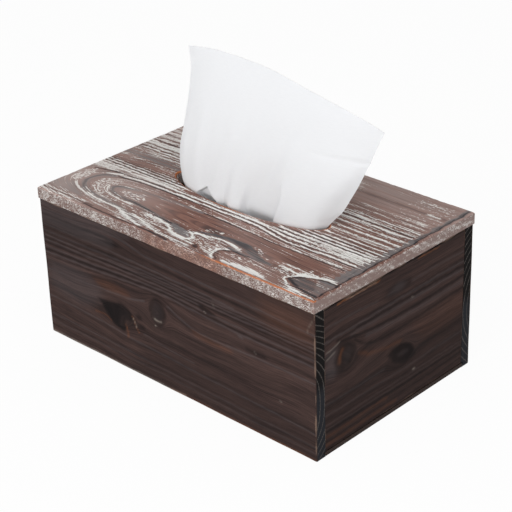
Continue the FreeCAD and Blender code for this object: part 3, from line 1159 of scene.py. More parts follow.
FLECK_FIELDS = (
    patch(ASH, 0.65, 5.0, (-134, -36), (-120, -38), (-114, -58), (-100, -66), (-90, -72), (-134, -72)),
    patch(PALE, 0.6, 3.0, (-108, -50), (-104, -39), (-92, -36), (-84, -39), (-90, -47), (-88, -53),
          (-80, -58), (-62, -61), (-60, -65), (-80, -63), (-98, -60.5)),
    patch(PALE, 0.7, 4.0, (-128, -52), (-126, -36), (-118, -33), (-115, -44), (-116, -55), (-122, -58)),
    patch(PALE, 0.6, 3.0, (-82, -48), (-76, -43), (-60, -43), (-52, -48), (-58, -54), (-74, -53)),
    patch(PALE, 0.54, 3.0, (-80, -60), (-50, -59), (-20, -63), (-12, -72), (-35, -70), (-60, -64)),
    patch(PALE, 0.42, 2.0, (-104, -35), (-80, -33.5), (-20, -31), (40, -33), (40, -36), (-20, -35),
          (-70, -37)),
    patch(PALE, 0.58, 4.0, (10, -64), (30, -61), (36, -66), (34, -76), (14, -76)),
    patch(PALE, 0.58, 3.0, (58, -58), (78, -57), (97, -60), (95, -67), (78, -66)),
    patch(PALE, 0.55, 3.0, (44, -66), (62, -65), (78, -69), (60, -72), (46, -71)),
    patch(PALE, 0.55, 3.0, (88, -55), (110, -50), (122, -52), (112, -56), (100, -58)),
    patch(PALE, 0.46, 5.0, (88, 76), (122, 76), (122, 36), (88, 36)),
    patch(PALE, 0.36, 3.0, (14, -56), (34, -50), (60, -52), (64, -60), (40, -57)),
)
WASH_FIELDS = (
    patch(WASH, 0.66, 5.0, (-134, -31), (-112, -28), (-60, -24), (-46, -20), (-60, -10), (-100, -12),
          (-134, -11)),
    patch(WASH, 0.56, 3.0, (-134, 10), (-80, 9), (-60, 30), (-134, 56)),
    patch(WASH, 0.74, 2.5, (36, -22), (58, -17), (64, -13), (80, -10), (121, -11), (122, -25.5),
          (90, -25), (58, -26), (44, -24.5)),
    patch(WASH, 0.3, 4.0, (-134, 56), (-60, 30), (-40, 22), (40, 24), (50, 36), (30, 80), (-134, 80)),
)
CHAR_LOOPS = (
    trail(CHAR, 0.95, 0.95, (-28, -77.5), (-34, -75), (-40, -72.8), (-48, -70.6), (-55, -68.2),
          (-62, -66.6), (-75, -65.5), (-88, -64.3), (-99, -62), (-107, -58.5), (-111, -53), (-113, -47),
          (-112.5, -42), (-110, -37.8), (-105, -34.6), (-95, -32.2), (-82, -30.3), (-70, -29.3),
          (-50, -28.9), (-10, -28.6), (15, -28.3), (35, -29.3), (45, -31), (55, -33), (65, -33.5),
          (80, -32.6), (100, -31.7), (122, -31.7)),
    trail(ASH, 1.0, 3.0, (-104, -60.5), (-110, -55), (-112.5, -48), (-112, -42), (-108, -36.5),
          (-101, -33.6)),
    trail(ASH, 0.95, 2.0, (-107, -59), (-99, -62), (-88, -64.1), (-75, -65.2), (-62, -66.4), (-55, -68),
          (-48, -70.4), (-38, -73.6), (-28, -77)),
    trail(CHAR, 0.55, 1.8, (-106, -59.5), (-110.6, -54), (-112.6, -48), (-112, -42), (-108, -36.5),
          (-100, -33.4)),
    trail(CHAR, 0.9, 0.8, (-124, -33), (-117, -31), (-110, -29), (-103, -28), (-90, -27), (-75, -25.8),
          (-60, -25), (-20, -24.9), (0, -24.6), (20, -24.6), (35, -25.2), (45, -27), (55, -29.2),
          (65, -29.8), (75, -29.4), (90, -27.9), (105, -27.5), (122, -27.9)),
    trail(CHAR, 0.9, 0.95, (-80, -41.5), (-70, -39.4), (-55, -38), (-35, -37), (-10, -36.3),
          (10, -36.7), (30, -37.4), (45, -38.3), (60, -39.2), (75, -39), (95, -38.8), (119, -38.5)),
    trail(ASH, 1.0, 2.6, (-76, -54.6), (-85.5, -51.5), (-88, -47.5), (-85.5, -44.2), (-80, -41.6),
          (-70, -39.6)),
    trail(ASH, 0.85, 1.9, (-80, -41.6), (-70, -39.6), (-55, -38.2), (-35, -37.2), (-10, -36.6)),
    trail(ASH, 0.95, 2.6, (-84, -52.5), (-76, -54.6), (-66, -55.6), (-52, -56.2), (-42, -57.6),
          (-32, -59.6), (-22, -60.8), (-10, -61.8)),
    trail(CHAR, 0.5, 1.7, (-84, -52.5), (-87.6, -48), (-85.5, -44.4), (-80, -41.6), (-68, -39.2),
          (-45, -37.6)),
    trail(CHAR, 0.75, 1.7, (-84, -52.5), (-76, -54.6), (-66, -55.4), (-52, -55.8), (-42, -57.2),
          (-32, -59.5), (-22, -60.6), (-10, -61.5)),
)
CHAR_PATCHES = (
    patch(ASH, 1.0, 1.2, (-14, -60.3), (-4, -61.3), (3, -62.6), (7, -65), (10, -67.6), (8, -69.4),
          (2, -70), (-4, -68.8), (-9, -66), (-13, -63.5)),
    trail(CHAR, 0.8, 0.6, (-14, -60.3), (-4, -61.3), (3, -62.6), (7, -65), (10, -67.6)),
    trail(CHAR, 0.5, 2.2, (58, -58), (68, -61.5), (80, -62.2)),
    trail(CHAR, 0.55, 1.4, (38, -61.5), (48, -62.6), (60, -63.6), (72, -63)),
    patch(CHAR, 0.8, 0.9, (18, -74.4), (21, -72.2), (25, -75.4), (22, -77.3)),
    trail(CHAR, 0.7, 0.7, (46, -67), (41.5, -69.4), (40.8, -72.4), (43, -75.6), (47.5, -79)),
    patch(ASH, 0.75, 1.4, (98, -69), (100.5, -66), (104.5, -62.6), (109.5, -60), (117, -57.6),
          (127, -57.6), (127.5, -77), (121, -77), (112, -75.5), (104, -72.6)),
    trail(CHAR, 0.8, 0.7, (-131, -76.8), (-110, -76.8), (-92, -77), (-76, -77.4)),
    trail(CHAR, 0.5, 0.5, (-131, -72.4), (-118, -73.2), (-105, -74.2)),
    trail(CHAR, 0.85, 1.1, (-84, -78.6), (-65, -79.4), (-45, -79.6), (-22, -79.2), (0, -80)),
)
WASH_LINES = (
    trail(WASH, 0.8, 0.8, (-115, -58), (-112, -60.8), (-105, -64.2), (-95, -66)),
    trail(WASH, 0.98, 1.32, (-97, -65.6), (-88, -66.7), (-80, -67.2), (-70, -67.8), (-60, -68.2),
          (-54, -69.8), (-48, -72.2), (-40, -74.8), (-30, -77.2)),
    trail(WASH, 0.88, 1.8, (-54, -71), (-46, -73.6), (-38, -75.6), (-30, -77.4)),
    trail(WASH, 0.83, 0.96, (-91, -48), (-89.5, -52), (-86, -55.2), (-78, -57), (-68, -57.8),
          (-58, -58)),
    trail(WASH, 0.98, 1.32, (-40, -60.4), (-30, -62), (-22, -62.8), (-15, -64.6), (-10, -67.6),
          (-4, -70.8), (3, -72), (9, -71), (11.5, -68), (9, -65), (5, -62.4)),
    trail(WASH, 1, 1.44, (4, -62.6), (12, -60.8), (20, -58.6), (30, -57.2), (38, -58.2), (44, -59.8),
          (51, -61.4)),
    trail(WASH, 0.5, 0.9, (-102, -58.2), (-95, -60.4), (-84, -62), (-70, -63), (-57, -64.6)),
    trail(WASH, 0.83, 1.08, (-46, -68), (-38, -69.5), (-32, -71.6), (-25, -74), (-14, -76)),
    trail(WASH, 0.55, 1, (-30, -70.4), (-20, -73), (-8, -75.4)),
    trail(WASH, 0.83, 0.96, (-14, -77.2), (0, -77.4), (16, -77)),
    trail(WASH, 0.6, 0.9, (13, -73.4), (17, -73.8)),
    trail(WASH, 0.6, 0.9, (26, -74), (34, -75.5)),
    patch(WASH, 1, 1.68, (49, -77.6), (62, -75.4), (75, -75), (85, -77.6), (86, -79.4), (50, -79.4)),
    trail(WASH, 0.93, 1.2, (42, -65), (37, -67), (35.6, -71), (37, -75), (41.5, -79)),
    trail(WASH, 0.98, 1.32, (96, -69), (99, -64.3), (104, -60.3), (110, -57.4), (117, -55.4),
          (126, -54.6)),
    trail(WASH, 0.98, 1.08, (97, -70.8), (102, -74.8), (110, -77.6), (120, -78.8), (128, -78.8)),
    trail(WASH, 0.6, 1.2, (108, -62.4), (113, -61.2), (116, -62)),
    trail(WASH, 0.6, 0.8, (10, -55), (20, -52.4), (33, -51)),
    trail(WASH, 0.8, 0.6, (-131, -74.6), (-115, -75.2), (-100, -75.6), (-85, -76)),
    trail(WASH, 0.83, 1.08, (-131, -78.6), (-112, -78.6), (-96, -78.8)),
    trail(WASH, 1, 1.14, (-108, -32.6), (-98, -30), (-82, -28.5), (-60, -27.1), (-20, -26.9),
          (20, -26.6), (35, -27.3), (45, -29), (55, -31), (65, -31.7), (80, -31), (100, -29.6),
          (121, -29.8)),
    trail(WASH, 0.98, 1.08, (-60, -22.8), (-10, -22.8), (20, -22.7), (35, -23.3), (45, -24.8),
          (57, -27)),
    trail(WASH, 0.7, 0.6, (-24, -34.8), (-10, -34.9), (10, -35.3), (30, -36), (45, -36.9), (60, -37.8),
          (80, -37.5), (119, -37)),
    trail(WASH, 0.98, 1.44, (109, 58.6), (118, 58.2)),
    trail(WASH, 0.88, 1.32, (110, 45), (118, 44.6)),
)
# Slate band along the right end
END_BAND = (
    (118.4, -53), (121.4, -51), (118.2, -48.5), (120.8, -46), (117.6, -43.5), (120.6, -41),
    (119.2, -38.4), (122, -36), (119.4, -33.6), (122, -31), (120.2, -28.6), (123.4, -26), (121, -23),
    (124, -20), (121.6, -17), (124, -14), (122, -11), (124, -8), (121.2, -5), (123.6, -2), (121.6, 1),
    (124, 4), (122.2, 7), (124.4, 10), (122.6, 13.6), (124.4, 17), (123, 20), (125, 24), (124, 30),
    (125.2, 37), (124, 44), (125.4, 52), (124.2, 61), (125.6, 70), (124.4, 80), (128.6, 80),
    (128.4, 50), (128, 25), (127.8, 0), (127.8, -30), (127.8, -53),
)
# Dark marks that lie over the wash
LEAF = (
    (3, -60.6), (8, -58.2), (14, -55.6), (22, -53.4), (30, -51.8), (40, -51), (50, -51.6), (56, -54),
    (63, -57.5), (72, -60.6), (78, -62.6), (68, -63.6), (58, -61.6), (52, -60), (42, -57.2), (32, -56),
    (22, -57), (12, -59.2),
)
CHAR_ACCENTS = (
    patch(ASH, 1.0, 1.0, *LEAF),
    trail(ASH, 0.9, 1.6, (40, -62.4), (52, -63.4), (64, -63.6), (77, -62.8)),
    patch(PALE, 0.6, 1.0, (32, -53), (44, -53), (56, -56.6), (50, -58.4), (40, -55.4)),
    patch(PALE, 0.62, 3.0, (6, -56), (12, -51), (28, -47.6), (36, -50), (20, -53.4)),
    patch(PALE, 0.62, 3.0, (48, -49.6), (60, -50), (68, -57), (60, -58), (52, -53)),
    patch(CHAR, 0.56, 1.0, *LEAF),
    trail(CHAR, 0.55, 1.2, (40, -62.8), (52, -63.8), (64, -63.8), (77, -62.8)),
    patch(CHAR, 0.5, 1.4, (98, -68.6), (104, -63), (110, -61), (116, -62), (121, -72), (112, -74.6),
          (104, -72)),
    trail(CHAR, 0.8, 1.2, (60, -64.2), (50, -64.4), (43, -66), (39, -68.6), (38, -71.4), (39.6, -74.8),
          (44, -79)),
    trail(CHAR, 0.85, 1.9, (99, -68.8), (104, -71.2), (110, -73.6), (118, -75.4), (127, -76)),
    patch(CHAR, 0.55, 1.4, (99, -68.6), (103.5, -66), (107, -68), (103.5, -70.6)),
    trail(CHAR, 0.95, 0.8, (99, -67.6), (101.6, -65), (105.4, -61.8), (110.4, -59.4), (118, -57.2),
          (127, -56.8)),
    patch(ASH, 0.95, 0.5, *END_BAND),
    patch(CHAR, 0.32, 0.5, *END_BAND),
    *stripes(WASH, 117, 125, (-55, 1.2, 0.8), (-30, 0.6, 0.8), (-26.2, 0.7, 0.85), (-21.8, 0.7, 0.8),
             (-17, 0.7, 0.85), (-12.6, 0.6, 0.75), (-8, 0.5, 0.7), (4, 0.5, 0.7), (16, 0.5, 0.7)),
    trail(CHAR, 0.5, 1.2, (124.4, -52), (124, -40), (125, -26)),
    trail(CHAR, 0.7, 1.0, (126.4, 22), (126.8, 45), (126.8, 79)),
    trail(CHAR, 0.95, 0.8, (128, -74), (128, 0), (128, 80)),
)
LID_FIGURE = (
    *FLECK_FIELDS,
    *WASH_FIELDS,
    *stripes(WASH, -132, -52, (-27, 2.2, 0.8), (-22.5, 2.2, 0.85), (-19.4, 0.9, 0.85), (-16, 0.9, 0.85),
             (-13, 0.9, 0.8), (-1.6, 0.5, 0.6), (8.3, 0.6, 0.6), (16.8, 0.9, 0.8), (20.8, 0.7, 0.6),
             (25.5, 1.9, 0.95), (28.5, 1.4, 0.9), (33.5, 0.6, 0.6), (40, 0.8, 0.85), (46.8, 1.3, 0.85),
             (51.5, 1.0, 0.7), (58, 0.8, 0.5), (64, 1.0, 0.6), (70, 0.8, 0.6), (75.5, 0.9, 0.5)),
    *stripes(CHAR, -132, -48, (-20.8, 0.5, 0.6), (-17.8, 0.7, 0.9), (-14.5, 0.7, 0.9),
             (-11.6, 0.7, 0.8), (-9.4, 0.5, 0.6), (5.5, 2.0, 0.3), (12.5, 0.7, 0.4), (15.2, 0.6, 0.75),
             (18.6, 0.7, 0.8), (22.8, 0.7, 0.7), (30.8, 1.0, 0.8), (36.5, 1.0, 0.55), (43, 1.0, 0.75),
             (49.3, 0.7, 0.7), (55, 1.0, 0.55), (61, 0.8, 0.65), (67, 0.7, 0.65), (73, 0.6, 0.65)),
    *stripes(ASH, -132, -48, (2.4, 2.4, 0.9), (6.4, 2.2, 0.8)),
    *stripes(WASH, 46, 124, (-22.6, 2.0, 0.7), (-18.2, 1.2, 0.85)),
    *stripes(WASH, 61, 124, (-34.8, 0.7, 0.5), (-26.3, 1.6, 0.9), (-14.6, 0.9, 0.9), (-11, 0.9, 0.85),
             (-7.6, 0.8, 0.8), (-3, 0.8, 0.9), (0.6, 0.6, 0.6), (3.6, 0.8, 0.85)),
    *stripes(WASH, -44, 123, (22.3, 1.0, 0.95), (26.6, 1.0, 0.9), (28.8, 0.8, 0.5), (31.2, 0.9, 0.8),
             (37.8, 0.7, 0.5), (44, 0.7, 0.42)),
    *stripes(WASH, 66, 125, (9.2, 0.8, 0.85), (12.6, 0.6, 0.6), (15.8, 0.8, 0.85), (19.4, 0.6, 0.55)),
    *stripes(WASH, 90, 123, (54.5, 0.6, 0.5), (68, 0.6, 0.4), (71.5, 0.6, 0.45)),
    *stripes(CHAR, 46, 82, (-24.5, 0.7, 0.9), (-20.4, 0.7, 0.9)),
    *stripes(CHAR, 46, 124, (-16.4, 0.7, 0.95)),
    *stripes(CHAR, 80, 122, (-19.9, 0.4, 0.3), (-21.7, 0.4, 0.28), (-23.5, 0.4, 0.3), (-25, 0.4, 0.28)),
    *stripes(CHAR, 61, 124, (-12.8, 0.7, 0.9), (-9.3, 0.7, 0.9), (-5.3, 0.8, 0.6), (-1.2, 0.8, 0.5),
             (6.4, 0.8, 0.5), (12, 0.8, 0.45), (17.8, 0.7, 0.55)),
    *stripes(CHAR, -40, 123, (24.5, 0.7, 0.95), (29.8, 0.6, 0.7), (34.5, 0.9, 0.45), (40.5, 0.8, 0.5),
             (47.5, 0.9, 0.4), (52, 0.8, 0.3), (58.5, 2.6, 0.55), (66, 0.8, 0.3), (76, 0.9, 0.3)),
    *CHAR_LOOPS,
    *CHAR_PATCHES,
    *WASH_LINES,
    *CHAR_ACCENTS,
)


@dataclass(frozen=True)
class Region:
    """A part of the lid with soft borders: on each side, where it begins and where it is full."""

    left: tuple[float, float] | None = None
    right: tuple[float, float] | None = None
    front: tuple[float, float] | None = None
    back: tuple[float, float] | None = None

    def share(self, x: Array, y: Array) -> Array:
        """Work out how far places on the lid belong to the region.

        Args:
            x: places along the lid.
            y: places across it.

        Returns:
            A share from 0 to 1 for each place.
        """
        found = np.ones_like(x)
        for values, border in ((x, self.left), (x, self.right), (y, self.front), (y, self.back)):
            if border is not None:
                found = found * rise(values, *border)
        return found


HEARTWOOD = Region(left=(-75, -40), right=(118, 100), front=(-58, -53), back=(-38, -42))
BACK_RIGHT = Region(left=(20, 60), front=(24, 40))
RIGHT_EDGE = Region(left=(128, 130))
DARK_ARRIS = Region(left=(126.5, 129), front=(-80, -76))
RUBBED_ARRIS = Region(left=(10, 50), back=(-70, -80))
PLAIN_EDGE = Region(left=(-70, -20), right=(90, 40), back=(1, -1))
WORN_EDGE = Region(left=(-55, -15), right=(80, 45), back=(1, -1))
# Where the film of wash is thicker or thinner than elsewhere, and by how much
FILM_CHANGES = (
    (-0.04, HEARTWOOD),
    (0.15, Region(right=(-20, -90), back=(-10, -26))),
    (0.26, Region(front=(20, 60))),
    (0.08, Region(right=(-106, -122))),
    (0.08, Region(right=(5, -40), front=(-60, -52), back=(-32, -40))),
)


@dataclass
class LidBoard:
    """The lid with its oval slot and the cathedral figure of a flat-sawn board."""

    name: str = "lid"
    slot_length: float = 141.0
    slot_width: float = 39.0
    slot_radius: float = 0.9
    arris_radius: float = 1.3
    foot_radius: float = 0.4
    corner_angle: float = 30.0
    long_steps: int = 230
    short_steps: int = 220
    top_steps: int = 84
    wall_steps: int = 5
    bend_steps: int = 5
    chip_depth: float = 0.35
    chip_reach: float = 1.2
    chip_lengths: tuple[float, ...] = (31.0, 17.0, 9.0, 5.0)
    edge_film: float = 0.13
    seed: int = 31
    # How deep the heart of the tree lies under the lid, and where it runs: it rises to the right,
    # so the grain makes nested loops that open to the right
    heart_depth: Points = (
        (-131, 30), (-113, 23), (-100, 18.5), (-88, 14.5), (-75, 12.8), (-59, 11.8), (-40, 11.2),
        (0, 10.4), (60, 9.4), (131, 8.6),
    )
    heart_line: Points = (
        (-131, -50), (-113, -48), (-100, -47), (-85, -47), (-59, -47.5), (-49, -47.5), (-22, -49),
        (1, -50.5), (28, -52), (60, -55), (98, -58), (131, -58),
    )

    def __post_init__(self) -> None:
        """Read the lid's corners from the CAD model."""
        low, high = (np.array(corner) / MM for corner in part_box("lid_board"))
        self.half_length, self.half_depth = high[Axis.X], high[Axis.Y]
        self.foot, self.top = low[Axis.Z], high[Axis.Z]

    def rims(self) -> tuple[Array, Array]:
        """Walk once round the lid.

        Returns:
            Directions of points on the outer edge, as shares of the half sizes, and on the slot, as the
            cosine and sine of the angle round it.
        """
        corner = math.radians(self.corner_angle)
        along = np.linspace(-1.0, 1.0, self.long_steps, endpoint=False)
        across = np.linspace(-1.0, 1.0, self.short_steps, endpoint=False)
        front = np.stack((along, -np.ones_like(along)), axis=-1)
        right = np.stack((np.ones_like(across), across), axis=-1)
        edge = np.concatenate((front, right, -front, -right))
        front_angle = along * (math.pi / 2 - corner) - math.pi / 2
        half = np.concatenate((front_angle, across * corner))
        angle = np.concatenate((half, half + math.pi))
        return edge, np.stack((np.cos(angle), np.sin(angle)), axis=-1)

    def profile(self) -> Array:
        """Trace the section of the lid from the foot of the slot over the top and back underneath.

        Returns:
            For each step: share of the way from slot to edge, offset from the slot, inset from the edge,
            and height.
        """
        turn = np.radians(np.linspace(0.0, 90.0, self.bend_steps))
        rows = [(0.0, 0.0, 0.0, z) for z in np.linspace(self.foot, self.top - self.slot_radius, 4)[:-1]]
        for angle in turn:
            offset = self.slot_radius * (1.0 - math.cos(angle))
            rows.append((0.0, offset, 0.0, self.top - self.slot_radius * (1.0 - math.sin(angle))))
        for share in np.linspace(0.0, 1.0, self.top_steps + 1)[1:-1]:
            rows.append((share, self.slot_radius, self.arris_radius, self.top))
        for angle in turn:
            inset = self.arris_radius * (1.0 - math.sin(angle))
            rows.append((1.0, 0.0, inset, self.top - self.arris_radius * (1.0 - math.cos(angle))))
        wall = np.linspace(self.top - self.arris_radius, self.foot + self.foot_radius, self.wall_steps + 1)
        rows.extend((1.0, 0.0, 0.0, z) for z in wall[1:])
        rows.append((1.0, 0.0, self.foot_radius, self.foot))
        for share in np.linspace(1.0, 0.0, 5)[1:-1]:
            rows.append((share, 0.0, self.foot_radius, self.foot))
        return np.array(rows)

    def grid(self) -> tuple[Array, Array]:
        """Carry the section round the lid.

        Returns:
            The places of the points and the faces between them.
        """
        edge, slot = self.rims()
        share, offset, inset, height = self.profile().T
        half = np.array((self.slot_length, self.slot_width)) / 2
        inner = slot[:, None, :] * (half + offset[:, None])
        outer = edge[:, None, :] * (np.array((self.half_length, self.half_depth)) - inset[:, None])
        flat = inner + share[None, :, None] * (outer - inner)
        places = np.concatenate((flat, np.broadcast_to(height[:, None], flat.shape[:2] + (1,))), axis=-1)
        around, across = flat.shape[:2]
        numbers = np.arange(around * across).reshape(around, across)
        return places.reshape(-1, 3), quads(np.pad(numbers, (0, 1), mode="wrap"))

    def whitewash(self, places: Array, on_side: Array, marks: dict[str, Array]) -> tuple[Array, Array]:
        """Rub wash into the lid: along its strokes on the top, and scraped off on the right edge.

        Args:
            places: points of the lid.
            on_side: true for points of the sawn edges.
            marks: shares of the strokes.

        Returns:
            Shares of thick wash and of a thin film over it for each point.
        """
        x, y, z = places.T
        on_right = RIGHT_EDGE.share(x, y)
        scraped = 0.36 * ripple(self.seed + 8, (43.0, 23.0, 11.0, 6.0), y, 3.0 * z)
        lower = 0.2 * rise(z, self.top - 2.0, self.top - 7.0)
        edge = 0.34 + 0.06 * ripple(self.seed + 6, (120.0, 47.0), x + 1.7 * y)
        edge = edge + on_right * (scraped - 0.3 + lower) - 0.2 * PLAIN_EDGE.share(x, y)

        # On the top, a little lies between the strokes and none on char
        between = 0.08 - 0.2 * np.maximum(HEARTWOOD.share(x, y), BACK_RIGHT.share(x, y))
        top = marks["wash"] + between * rise(marks["wash"], 0.3, 0.0) - 0.4 * marks["char"]
        film = 0.06 + 0.05 * ripple(self.seed + 7, (60.0, 33.0), x * 0.4, y)
        for change, region in FILM_CHANGES:
            film = film + change * region.share(x, y)
        dark = np.maximum(marks["char"], 0.7 * rise(marks["ash"], 0.7, 1.0))
        film = np.clip(film, 0.0, 1.0) * (1.0 - dark)
        return np.where(on_side, edge, top), np.where(on_side, self.edge_film * on_right, film)

    def bare_wood(self, places: Array, to_edge: Array, to_slot: Array, side: Array) -> Array:
        """Bare the wood on the arrises, round the slot and on the worn part of the front edge.

        Args:
            places: points of the lid.
            to_edge: their distances from the outer edge.
            to_slot: their distances from the slot.
            side: how far they belong to the sawn edges.

        Returns:
            A share for each place.
        """
        x, y, z = places.T
        arris = np.exp(-np.maximum(np.hypot(to_edge, self.top - z) - 0.3, 0.0))
        arris = arris * (0.32 + 0.75 * RUBBED_ARRIS.share(x, y)) * (1.0 - 0.9 * DARK_ARRIS.share(x, y))
        rim = np.exp(-np.maximum(to_slot - self.slot_radius, 0.0) / 0.6) * rise(z, self.top - 3.0, self.top)
        worn = 0.5 * side * WORN_EDGE.share(x, y)
        return np.maximum(np.maximum(arris, 0.95 * rim), worn)

    def build(self, relief: BrushedRelief, finish: Material) -> Object:
        """Build the lid, paint its figure and brush it.

        Args:
            relief: brushed relief of the top.
            finish: material of the lid.

        Returns:
            The finished lid.
        """
        places, faces = self.grid()
        x, y, z = places.T
        radius = np.hypot(y - follow(self.heart_line, x), follow(self.heart_depth, x))
        marks = draw(LID_FIGURE, x, y, self.seed)

        to_edge = np.minimum(self.half_length - np.abs(x), self.half_depth - np.abs(y))
        turn = np.hypot(x / self.slot_length, y / self.slot_width) * 2
        to_slot = (turn - 1.0) * np.hypot(x, y) / np.maximum(turn, NEAR)
        on_top = rise(z, self.top - 1.0, self.top - 0.2)
        side = rise(to_edge, 0.9, 0.2) * rise(z, self.top - 0.3, self.top - 1.3)
        wash, film = self.whitewash(places, side > 0.5, marks)

        shaped = places.copy()
        chip = np.maximum(ripple(self.seed + 11, self.chip_lengths, x, y), 0.0)
        shaped[:, 2] -= self.chip_depth * chip * np.exp(-to_edge / self.chip_reach) * on_top
        lid = add_object(self.name, shaped, faces)
        paint(
            lid,
            grain=np.stack((x, radius, z), axis=-1) * MM,
            sink=np.clip(marks["wash"] - marks["char"] - marks["ash"], 0.0, 1.0),
            brushed=on_top * rise(to_edge, 0.8, 2.2) * rise(to_slot, 0.6, 2.0),
            char=marks["char"],
            ash=marks["ash"],
            wash=wash,
            pale=marks["pale"] * (1.0 - marks["char"]),
            haze=film,
            bare=self.bare_wood(places, to_edge, to_slot, side),
            side=side,
        )
        relief.apply(lid, finish)
        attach(lid, "cover")
        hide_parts("lid_board", "lid_fillers")
        return lid


# Tissue


@dataclass(frozen=True)
class Crease:
    """A pressed line in the tissue: its ends across the flat sheet and above the rim, and its depth."""

    start: tuple[float, float]
    end: tuple[float, float]
    depth: float
    width: float = 1.6
    fade: float = 12.0

    def press(self, across: Array, above: Array) -> Array:
        """Press the line into the sheet.

        Args:
            across: places across the flat sheet.
            above: their heights above the rim.

        Returns:
            How far each place is pressed back.
        """
        share = (across - self.start[0]) / (self.end[0] - self.start[0])
        line = self.start[1] + (self.end[1] - self.start[1]) * share
        taken = rise(across, self.start[0] - self.fade, self.start[0] + self.fade)
        left = rise(across, self.end[0] + self.fade, self.end[0] - self.fade)
        return self.depth * np.exp(-(((above - line) / self.width) ** 2)) * taken * left


@dataclass
class Tissue:
    """A facial tissue drawn up through the slot, gathered at the rim and fanned out above it.

    Each row gives the places of the same columns of the sheet, seen from above, from the tail in the
    box to the top edge. Its edge over the rim opens in one pleat, where the sheet turns back.
    """

    name: str = "tissue"
    flat_width: float = 180.0
    flat_length: float = 133.0
    thickness: float = 0.22
    columns: int = 211
    steps: int = 163
    seed: int = 5
    # Share of the way up from the rim, or height below it, and the column places
    rows: tuple[tuple[float, Points], ...] = (
        (-31.0, (
            (-44, 1), (-39, -4), (-33, -7), (-27, -6), (-21, -3), (-15, -6), (-10, -4), (-4, -6),
            (2, -5), (8, 0), (18, 1), (28, -3), (24, -9), (33, -10), (42, -7), (49, 1),
        )),
        (-9.0, (
            (-55, -6), (-47, -10), (-39, -12), (-32, -12), (-25, -12), (-17, -14), (-10.5, -11),
            (-3, -14), (4, -12), (9, -7.5), (21, -6.5), (39, -7.5), (33, -13), (45, -11), (56, -7),
            (62, 2),
        )),
        (0.0, (
            (-56.4, -9), (-48, -13), (-39.5, -15.2), (-32, -16.4), (-24.5, -17), (-17, -17.6),
            (-10.5, -14.6), (-3, -17.8), (4, -16.2), (8.5, -10.4), (22, -9.6), (43, -10), (36, -15.6),
            (49, -13), (62.6, -7.8), (69.2, 2.2),
        )),
        (0.07, (
            (-57, -9.9), (-49, -13.6), (-40.5, -15.7), (-33, -16.4), (-25.5, -16.4), (-18, -17),
            (-11, -14.8), (-3.2, -17.2), (4.5, -15.4), (10, -10.2), (23, -9.4), (43.5, -10.4),
            (38.5, -15.7), (51.5, -13), (65, -7.8), (73.4, 4),
        )),
        (0.16, (
            (-57.9, -10), (-49.4, -13.6), (-40.5, -15.5), (-32.5, -16.1), (-25, -15.9), (-17.4, -16.2),
            (-10, -14.4), (-2, -16), (6.5, -14), (13, -10.2), (25, -9.4), (42.5, -10.8), (41, -15.2),
            (54.5, -12.8), (69, -6.8), (79.8, 4.2),
        )),
        (0.30, (
            (-56.4, -10), (-47.6, -13), (-38.4, -14.6), (-30, -15.2), (-22.2, -15), (-14.6, -15),
            (-6.6, -14), (1.6, -14.4), (10.5, -13), (18.5, -10.6), (28.5, -9.6), (39.5, -11.6),
            (45.5, -14), (61, -11.6), (76, -5.4), (86.6, 4.2),
        )),
        (0.48, (
            (-52.2, -8.4), (-43.2, -11.2), (-34, -12.6), (-25.4, -13), (-17, -12.9), (-8.8, -12.7),
            (0, -12.2), (9, -12), (18.8, -11.2), (28, -10.6), (38, -10.6), (47.5, -11.4), (57, -11.4),
            (71, -9), (85, -3.4), (95, 4),
        )),
        (0.72, (
            (-50.4, -3.8), (-41, -6.8), (-31.5, -8.2), (-22.5, -8.8), (-13.5, -8.9), (-4.5, -8.8),
            (5, -8.4), (15, -8), (25.5, -7.6), (35.5, -7.3), (46, -7.2), (56, -7.1), (66.5, -6.6),
            (80, -4.6), (94, -0.6), (105, 3.8),
        )),
        (0.88, (
            (-50.8, -1.2), (-41, -3.8), (-31.6, -5.2), (-22.4, -5.8), (-13.2, -6), (-4, -6), (6, -5.8),
            (16.4, -5.4), (27, -5.2), (37.5, -5), (48.2, -4.8), (58.6, -4.6), (69.8, -4), (84, -2.6),
            (98.6, 0), (111.4, 3),
        )),
        (1.0, (
            (-54.4, 1), (-44, -0.8), (-34, -1.8), (-24, -2.3), (-14, -2.5), (-4, -2.5), (6.5, -2.4),
            (17.5, -2.2), (28.5, -2.1), (39.5, -2), (50.5, -1.9), (61.5, -1.7), (73, -1.4),
            (87.5, -0.6), (102.5, 0.6), (116.6, 2.2),
        )),
    )
    # Height of the top edge along X
    top_edge: Points = (
        (-54.4, 216.4), (-34, 220.2), (-24, 221.1), (-12, 221.2), (6, 220.4), (20, 219.2), (32, 217.4),
        (45, 214.6), (80, 207.3), (100, 202.4), (116.6, 197),
    )
    # Opening of the pleat over the rim: height along X, and how far the sheet turns back in it
    pleat: Points = ((-41, -4), (-37, 0), (-25.5, 8), (-16, 0), (-12, -4))
    pleat_depth: float = 4.5
    pleat_turn: float = 1.2
    # Soft folds: depth, lengths across, slant, heights between which they show, and how far
    # they spread with the fan
    fold_depth: float = 0.45
    fold_lengths: tuple[float, ...] = (31.0, 19.0, 47.0)
    fold_slant: float = 0.12
    fold_start: tuple[float, float] = (2.0, 16.0)
    fold_end: tuple[float, float] = (92.0, 40.0)
    fan_spread: float = 0.22
    fan_height: float = 100.0
    creases: tuple[Crease, ...] = (
        Crease((150, 55.2), (200, 53.2), 0.9),
        Crease((58, 45.4), (77, 49.6), 0.35, fade=6.0),
    )

    def __post_init__(self) -> None:
        """Read the rim's height from the CAD model."""
        self.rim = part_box("lid_board")[1][Axis.Z] / MM

